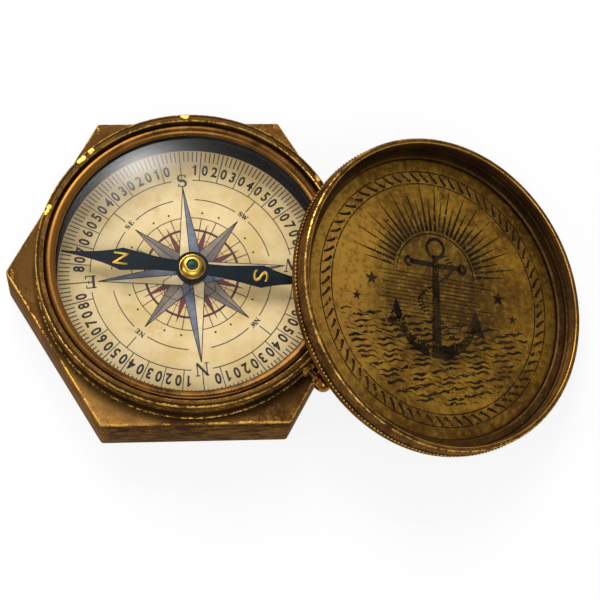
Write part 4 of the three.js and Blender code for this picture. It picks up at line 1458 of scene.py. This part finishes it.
cut_thread(hoop, root, LID_THREAD_LOW, lid_thread_high)
clean(hoop)
print("lid", LID_RADIUS * 2, "mm across")

# %% [markdown]
# ## Wear, dirt and painted shade on the lid
# The lid's rim is rubbed most where its thread starts. Painted shade darkens the threaded inner wall,
# most of all on the far side. Dirt sits in the corner over the ledge, along the seam with the plate and
# in the beads' groove.

# %% Wear, dirt and painted shade on the lid
LID_BROWNS = (srgb(64, 42, 19), srgb(108, 75, 37), srgb(150, 108, 59))
LID_SPOTS = ((188, 12), (172, 12), (205, 12), (300, 12), (75, 12))
BEAD_HEIGHT = 2.3


def lid_wear(point):
    """Rubbed on the rim, most of all where the thread starts, on the ledge and the back edge."""
    radius, height = point.radius(), point.part("Z")
    top = height.smooth(LID_HEIGHT - 0.7, LID_HEIGHT - 0.1)
    outer = radius.smooth(LID_RADIUS - 0.6, LID_RADIUS - 0.25) * top
    inner = radius.smooth(root + 0.5, root + 0.15) * top
    lip = radius.smooth(LEDGE_RADIUS + 0.6, LEDGE_RADIUS) * height.smooth(LEDGE_LOW, LEDGE_TOP)
    crests = radius.smooth(LID_BORE + 0.12, LID_BORE - 0.02) * 0.4
    edge = radius.smooth(LID_RADIUS - 0.15, LID_RADIUS) * height.near(3.0, 0.4) * 0.7
    patches = spots(point, *LID_SPOTS) * top * 0.8
    return (outer * 1.15).most(inner * 1.3).most(lip * 0.6).most(crests).most(edge).most(patches)


def lid_grime(point):
    """Painted shade on the threaded inner wall, most on the far side; dark in the corner over the ledge,
    along the seam and in the beads' groove.
    """
    radius, height = point.radius(), point.part("Z")
    # Painted shade on the inner wall, strongest on its far side.
    dish = radius.smooth(LID_BORE + 0.5, LID_BORE + 0.3) * height.smooth(6.1, 5.2)
    dish = dish * radius.smooth(LEDGE_RADIUS - 0.6, LEDGE_RADIUS + 1.2)
    dish = dish * (0.35 + 0.5 * point.part("Y").smooth(-5, 28))
    groove = radius.near(groove_floor, 0.14) * height.near(BEAD_HEIGHT, 0.7)
    corner = radius.near(LID_BORE - 0.1, 0.4) * height.smooth(3.1, 2.7)
    seam = radius.smooth(LEDGE_RADIUS + 0.4, LEDGE_RADIUS + 0.1)
    return dish.most(groove).most(corner).most(seam)


lid_brass = aged_brass("lid_hoop_brass", lid_wear, lid_grime, LID_PLACE, LID_TURN, LID_BROWNS)
settle(hoop, "lid_hoop", "lid", lid_brass, ["lid_ring"], leaning)

# %% [markdown]
# ## The beads
# A row of small beads runs round the back edge of the lid. One low sphere is set in the groove, and
# Spin copies it. There are hundreds, so a bead has only a few dozen faces.

# %% Beads
BEAD_COUNT, BEAD_RADIUS, BEAD_SUNK = 248, 0.36, 0.02

unselect()
bpy.ops.mesh.primitive_uv_sphere_add(
    segments=8, ring_count=5, radius=BEAD_RADIUS, location=(LID_RADIUS - BEAD_SUNK, 0, BEAD_HEIGHT))
beads = bpy.context.object
bpy.ops.object.transform_apply()
copied_round(beads, BEAD_COUNT)
bpy.ops.object.shade_smooth()


def bead_wear(point):
    """Rubbed on the outermost side of every bead."""
    return point.radius().smooth(LID_RADIUS, LID_RADIUS + 0.25) * 1.2


def bead_grime(point):
    """Dark where a bead goes into its groove."""
    return point.radius().smooth(LID_RADIUS + 0.12, LID_RADIUS - 0.05)


bead_brass = aged_brass("bead_brass", bead_wear, bead_grime, LID_PLACE, LID_TURN)
settle(beads, "lid_beads", "lid", bead_brass, place=leaning)

# %% [markdown]
# ## The lid's plate
# Inside the lid lies a plain turned plate, gone olive brown. Its patina has three sizes of mottling
# over one another and is browner at the edge and in the middle. A painted light makes one side of it
# paler.

# %% Plate
PLATE_ROUND = 0.15
# The side of the plate that a painted light makes paler.
PLATE_LIT_SIDE = (187, 62)

plate = turned([(0, 0), (DISC_RADIUS, 0), (DISC_RADIUS, DISC_THICK), (0, DISC_THICK)], PLATE_ROUND)
etched_brass, point = new_finish("etched_brass", LID_PLACE, LID_TURN)
radius = point.radius()
clouds = point.noise(48, detail=5, roughness=0.6, distortion=0.6)
stains = point.noise(190, detail=6, roughness=0.66)
grain = point.noise(1700, detail=3, roughness=0.6)
mottle = point.noise(640, detail=4, roughness=0.7)
edge = radius.smooth(25, 34.5) * (0.15 + 0.4 * stains)
middle = (radius + 12 * (stains - 0.5)).smooth(20, 17)
# Painted light on one side of the plate.
pale = spots(point, PLATE_LIT_SIDE) * radius.smooth(10, 26)
olive = clouds.smooth(0.36, 0.62).mix(srgb(118, 80, 30), srgb(182, 136, 46))
for share, tone in (
        ((stains * 0.75 + grain * 0.25).smooth(0.46, 0.72), srgb(96, 64, 24)),
        (edge, srgb(86, 52, 16)),
        (middle * 0.5, srgb(70, 54, 32)),
        (pale * 0.55, srgb(212, 158, 68)),
        (mottle.smooth(0.47, 0.66) * 0.5, srgb(80, 53, 21)),
        ((1 - mottle).smooth(0.5, 0.66) * 0.4, srgb(196, 150, 62)),
        ((grain * 0.6 + stains * 0.4).smooth(0.56, 0.68), srgb(66, 43, 17))):
    olive = share.mix(olive, tone)
coat(point, {
    "Base Color": olive,
    "Metallic": 0.8,
    "Roughness": 0.46 + 0.3 * (stains - 0.35),
    "Specular Tint": BRASS_EDGE,
    "Normal": relief(stains * 0.5 + grain * 0.5, 0.05, 0.5),
})
settle(plate, "lid_plate", "lid", etched_brass, ["lid_disc"], leaning)

# %% [markdown]
# ## The etched anchor
# The plate carries a blackened etching: an anchor on the waves, under the rays of a sun, in a border
# of rope. It is drawn with the same strips as the dial. The anchor is a ring, a stock and a shank,
# arms on an arc that swells in the middle, and two flukes, with a rope down its shank.

# %% Etched anchor
ETCH_LEVEL = DISC_THICK + 0.004
CABLE_LEVEL = ETCH_LEVEL + 0.002
EYE_CENTRE, EYE_RADIUS, EYE_LINE = (0, 12.2), 2.3, 0.9
STOCK, STOCK_HEIGHT, STOCK_LINE = 7.2, 8.0, 1.3
BALL_AT, BALL_RADIUS = 7.4, 0.95
SHANK, SHANK_LINE, FOOT_LINE = ((0, 10.4), (0, -13.2)), 1.7, 2.6
ARMS_CENTRE, ARMS_RADIUS, ARMS_LINE, ARMS_SWELL = (0, -2.2), 11.2, 1.0, 2.0
FLUKE = ((8.2, -7.6), (13.4, -8.0), (11.0, -1.6))
CABLE_COUNT, CABLE_SWAY, CABLE_TURNS, CABLE_START = 30, 4.4, 2.2 * math.pi, 0.6
CABLE_TOP, CABLE_DROP, CABLE_LINE, STRAND = 10.5, 19.5, 0.42, Vector((0.75, 0.3))

etch = [
    arc(EYE_RADIUS, 0, 360, EYE_LINE, ETCH_LEVEL, EYE_CENTRE),
    line((-STOCK, STOCK_HEIGHT), (STOCK, STOCK_HEIGHT), STOCK_LINE, ETCH_LEVEL),
    line(*SHANK, SHANK_LINE, ETCH_LEVEL, FOOT_LINE),
]
arms = arc_path(ARMS_RADIUS, 200, 340, ARMS_CENTRE)
last = len(arms) - 1
swell = [ARMS_LINE + ARMS_SWELL * math.sin(math.pi * index / last) for index in range(len(arms))]
etch.append(strip(arms, swell, ETCH_LEVEL))
for side in (-1, 1):
    etch.append(arc(BALL_RADIUS, 0, 360, EYE_LINE, ETCH_LEVEL, (side * BALL_AT, STOCK_HEIGHT)))
    etch.append(shape([(side * x, y) for x, y in FLUKE][::side], ETCH_LEVEL))
for number in range(CABLE_COUNT):
    share = number / (CABLE_COUNT - 1)
    sway = CABLE_SWAY * math.sin(CABLE_TURNS * share + CABLE_START)
    middle = Vector((sway, CABLE_TOP - CABLE_DROP * share))
    etch.append(line(tuple(middle - STRAND), tuple(middle + STRAND), CABLE_LINE, CABLE_LEVEL))
print(len(etch), "strokes of the anchor")

# %% [markdown]
# ## The etched sea and sky
# A graver's lines swell, thin out and never end alike. A sine with a large factor gives numbers that
# look random but are the same every time, and they vary the width and the length of each line.

# %% Etched sea and sky
SUN = (0.0, 5.0)
WATER_TOP, WATER_ROWS, WATER_STEP, WATER_REACH = -6.0, 17, 1.2, 26.5
WATER_POINTS, WAVE, WAVE_RISE, RIPPLE, RIPPLE_RISE = 60, 0.8, 0.35, 2.1, 0.2
WATER_LINE, WATER_SWELL, WATER_JITTER, WATER_LEAST = 0.36, 0.34, 0.5, 0.06
SKY_ROWS, SKY_STEP, SKY_REACH, SKY_JAG, SKY_LINES = 12, 0.95, 16.0, 3.0, (0.2, 0.28)


def scatter(*numbers):
    """A number from 0 to 1 that looks random but is the same every time."""
    return math.sin(sum(n * k for n, k in zip(numbers, (12.9898, 78.233, 37.719)))) * 43758.5453 % 1


for row in range(WATER_ROWS):
    height = WATER_TOP - WATER_STEP * row
    reach = math.sqrt(WATER_REACH ** 2 - height ** 2)
    shift = math.tau * scatter(row, 1)
    path, widths = [], []
    for number in range(WATER_POINTS + 1):
        x = reach * (2 * number / WATER_POINTS - 1)
        rise = WAVE_RISE * math.sin(WAVE * x + shift) + RIPPLE_RISE * math.sin(RIPPLE * x + 2 * shift)
        width = WATER_LINE + WATER_SWELL * math.cos(WAVE * x + shift)
        width += WATER_JITTER * (scatter(row, number) - 0.5)
        path.append((x, height + rise))
        widths.append(max(WATER_LEAST, width))
    etch.append(strip(path, widths, ETCH_LEVEL))
for row in range(SKY_ROWS):
    height = SUN[1] - SKY_STEP * row
    reach = SKY_REACH - SKY_JAG * scatter(row, 7)
    end = reach * (0.8 + 0.2 * scatter(row, 8))
    etch.append(line((-reach, height), (end, height), SKY_LINES[0], ETCH_LEVEL, SKY_LINES[1]))
print(len(etch), "strokes with sea and sky")

# %% [markdown]
# ## Sun, stars and rope
# The rays are tapered lines, long and short in turn. The border's rope is one curved strand, copied
# round between two circles. A star goes round a circle with every second corner drawn in.

# %% Sun, stars and rope
RAY_COUNT, RAY_FIRST, RAY_SWEEP, RAY_LINES = 31, 8, 164, (0.85, 0.12)
RAY_START, LONG_RAY, SHORT_RAY = 11.4, 23.0, 19.5
SUN_RADIUS, SUN_LINE = 10.7, 0.35
ROPE_RADIUS, ROPE_COUNT, ROPE_HALF, ROPE_LINE = 29.6, 72, 1.5, 0.3
TWIST = ((-1.2, -1.3), (-0.2, 0.5), (1.2, 1.3))
TWIST_LINE, TWIST_TAPER = 0.8, 0.05
STARS = ((17.5, 2.2, 1.9), (21.5, -2.5, 1.3))
STAR_POINTS, STAR_WAIST = 5, 0.4

for ray in range(RAY_COUNT):
    angle = math.radians(RAY_FIRST + RAY_SWEEP * ray / (RAY_COUNT - 1))
    reach = LONG_RAY if ray % 2 else SHORT_RAY
    start, end = on_circle(angle, RAY_START, SUN), on_circle(angle, reach, SUN)
    etch.append(line(start, end, RAY_LINES[0], ETCH_LEVEL, RAY_LINES[1]))
etch.append(arc(SUN_RADIUS, 4, 176, SUN_LINE, ETCH_LEVEL, SUN))
for circle in (ROPE_RADIUS - ROPE_HALF, ROPE_RADIUS + ROPE_HALF):
    etch.append(arc(circle, 0, 360, ROPE_LINE, ETCH_LEVEL))
twist = bezier(*[(ROPE_RADIUS + out, along) for out, along in TWIST])
tapered = [TWIST_LINE - TWIST_TAPER * index for index in range(len(twist))]
etch.append(copied_round(strip(twist, tapered, ETCH_LEVEL), ROPE_COUNT))
for side in (-1, 1):
    for x, y, size in STARS:
        star = []
        for corner in range(2 * STAR_POINTS):
            out = size * (STAR_WAIST if corner % 2 else 1)
            star.append(on_circle(math.pi * corner / STAR_POINTS + math.pi / 2, out, (side * x, y)))
        etch.append(shape(star, ETCH_LEVEL))
print(len(etch), "strokes of the etching")

# %% [markdown]
# ## The etching's black
# All the strokes become one thin sheet that lies on the plate. Its black is eaten away in places,
# which an uneven alpha shows.

# %% Etching
ETCH_TURN = math.radians(6)
ETCH_THICK = 0.01

etch_black, point = new_finish("etch_black", LID_PLACE, LID_TURN)
worn_away = point.noise(420, detail=5, roughness=0.7)
crumbs = point.noise(2200, detail=2)
tone = point.noise(140, detail=4)
coat(point, {
    "Base Color": tone.smooth(0.35, 0.68).mix(srgb(26, 19, 11), srgb(56, 41, 22)),
    "Metallic": 0.4,
    "Specular IOR Level": 0.1,
    "Roughness": 0.6 + 0.25 * tone,
    "Alpha": (worn_away * 0.6 + crumbs * 0.4).smooth(0.4, 0.5),
})
settle(printed(etch, ETCH_THICK), "lid_etching", "lid", etch_black,
       place=leaning @ Matrix.Rotation(ETCH_TURN, 4, "Z"))

# %% [markdown]
# ## Steel and rubber
# The pins, the spring and the screws are bare steel, and the seal under the glass is rubber. Drawn
# steel has scratches along its length, so its noise is stretched that way.

# %% Steel and rubber
def plain_steel(name, dark, light):
    """Steel with fine scratches, between two tones."""
    material, point = new_finish(name)
    scratches = point.stretched(1, 1, 0.08).noise(1800, detail=3)
    coat(point, {
        "Base Color": scratches.smooth(0.35, 0.7).mix(dark, light),
        "Metallic": 1.0,
        "Roughness": 0.28 + 0.2 * scratches,
    })
    return material


rubber, point = new_finish("gasket_rubber")
bloom = point.noise(700, detail=4)
coat(point, {"Base Color": bloom.mix(srgb(16, 16, 16), srgb(40, 40, 38)), "Roughness": 0.75 + 0.2 * bloom})
steel = plain_steel("plain_steel", srgb(120, 120, 118), srgb(190, 190, 186))
browned_steel = plain_steel("browned_steel", srgb(62, 48, 30), srgb(134, 108, 70))
print("steel and rubber ready")

# %% [markdown]
# ## Pieces that keep their CAD shape
# The card, the mechanism and the underside already have the right shape, so they stay as the CAD has
# them and only take a finish. A dictionary from each finish to its pieces keeps the list short. Only
# the material is replaced, never the mesh.

# %% Finishes of the CAD pieces
def cover_wear(point):
    """Rubbed round the bottom cover's edge."""
    return point.radius().smooth(cover_high.x - 0.8, cover_high.x)


CAD_FINISHES = {
    parchment: ["dial_card"],
    rubber: ["glass_gasket"],
    aged_brass("cover_brass", cover_wear): ["bottom_cover", "lock_bush"],
    plain_brass: ["dial_plate", "pivot_post", "lifter_lever", "lifter_tube", "lifter_bracket"],
    steel: ["pivot_pin", "lifter_pin", "lifter_spring"] + [f"bottom_screw_{n}" for n in (1, 2, 3)],
    browned_steel: ["lock_plunger"],
    blued: ["needle_washer"],
}
for finish, nodes in CAD_FINISHES.items():
    for node in nodes:
        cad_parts[node].data.materials.clear()
        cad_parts[node].data.materials.append(finish)
print("CAD pieces finished", sum(len(nodes) for nodes in CAD_FINISHES.values()))
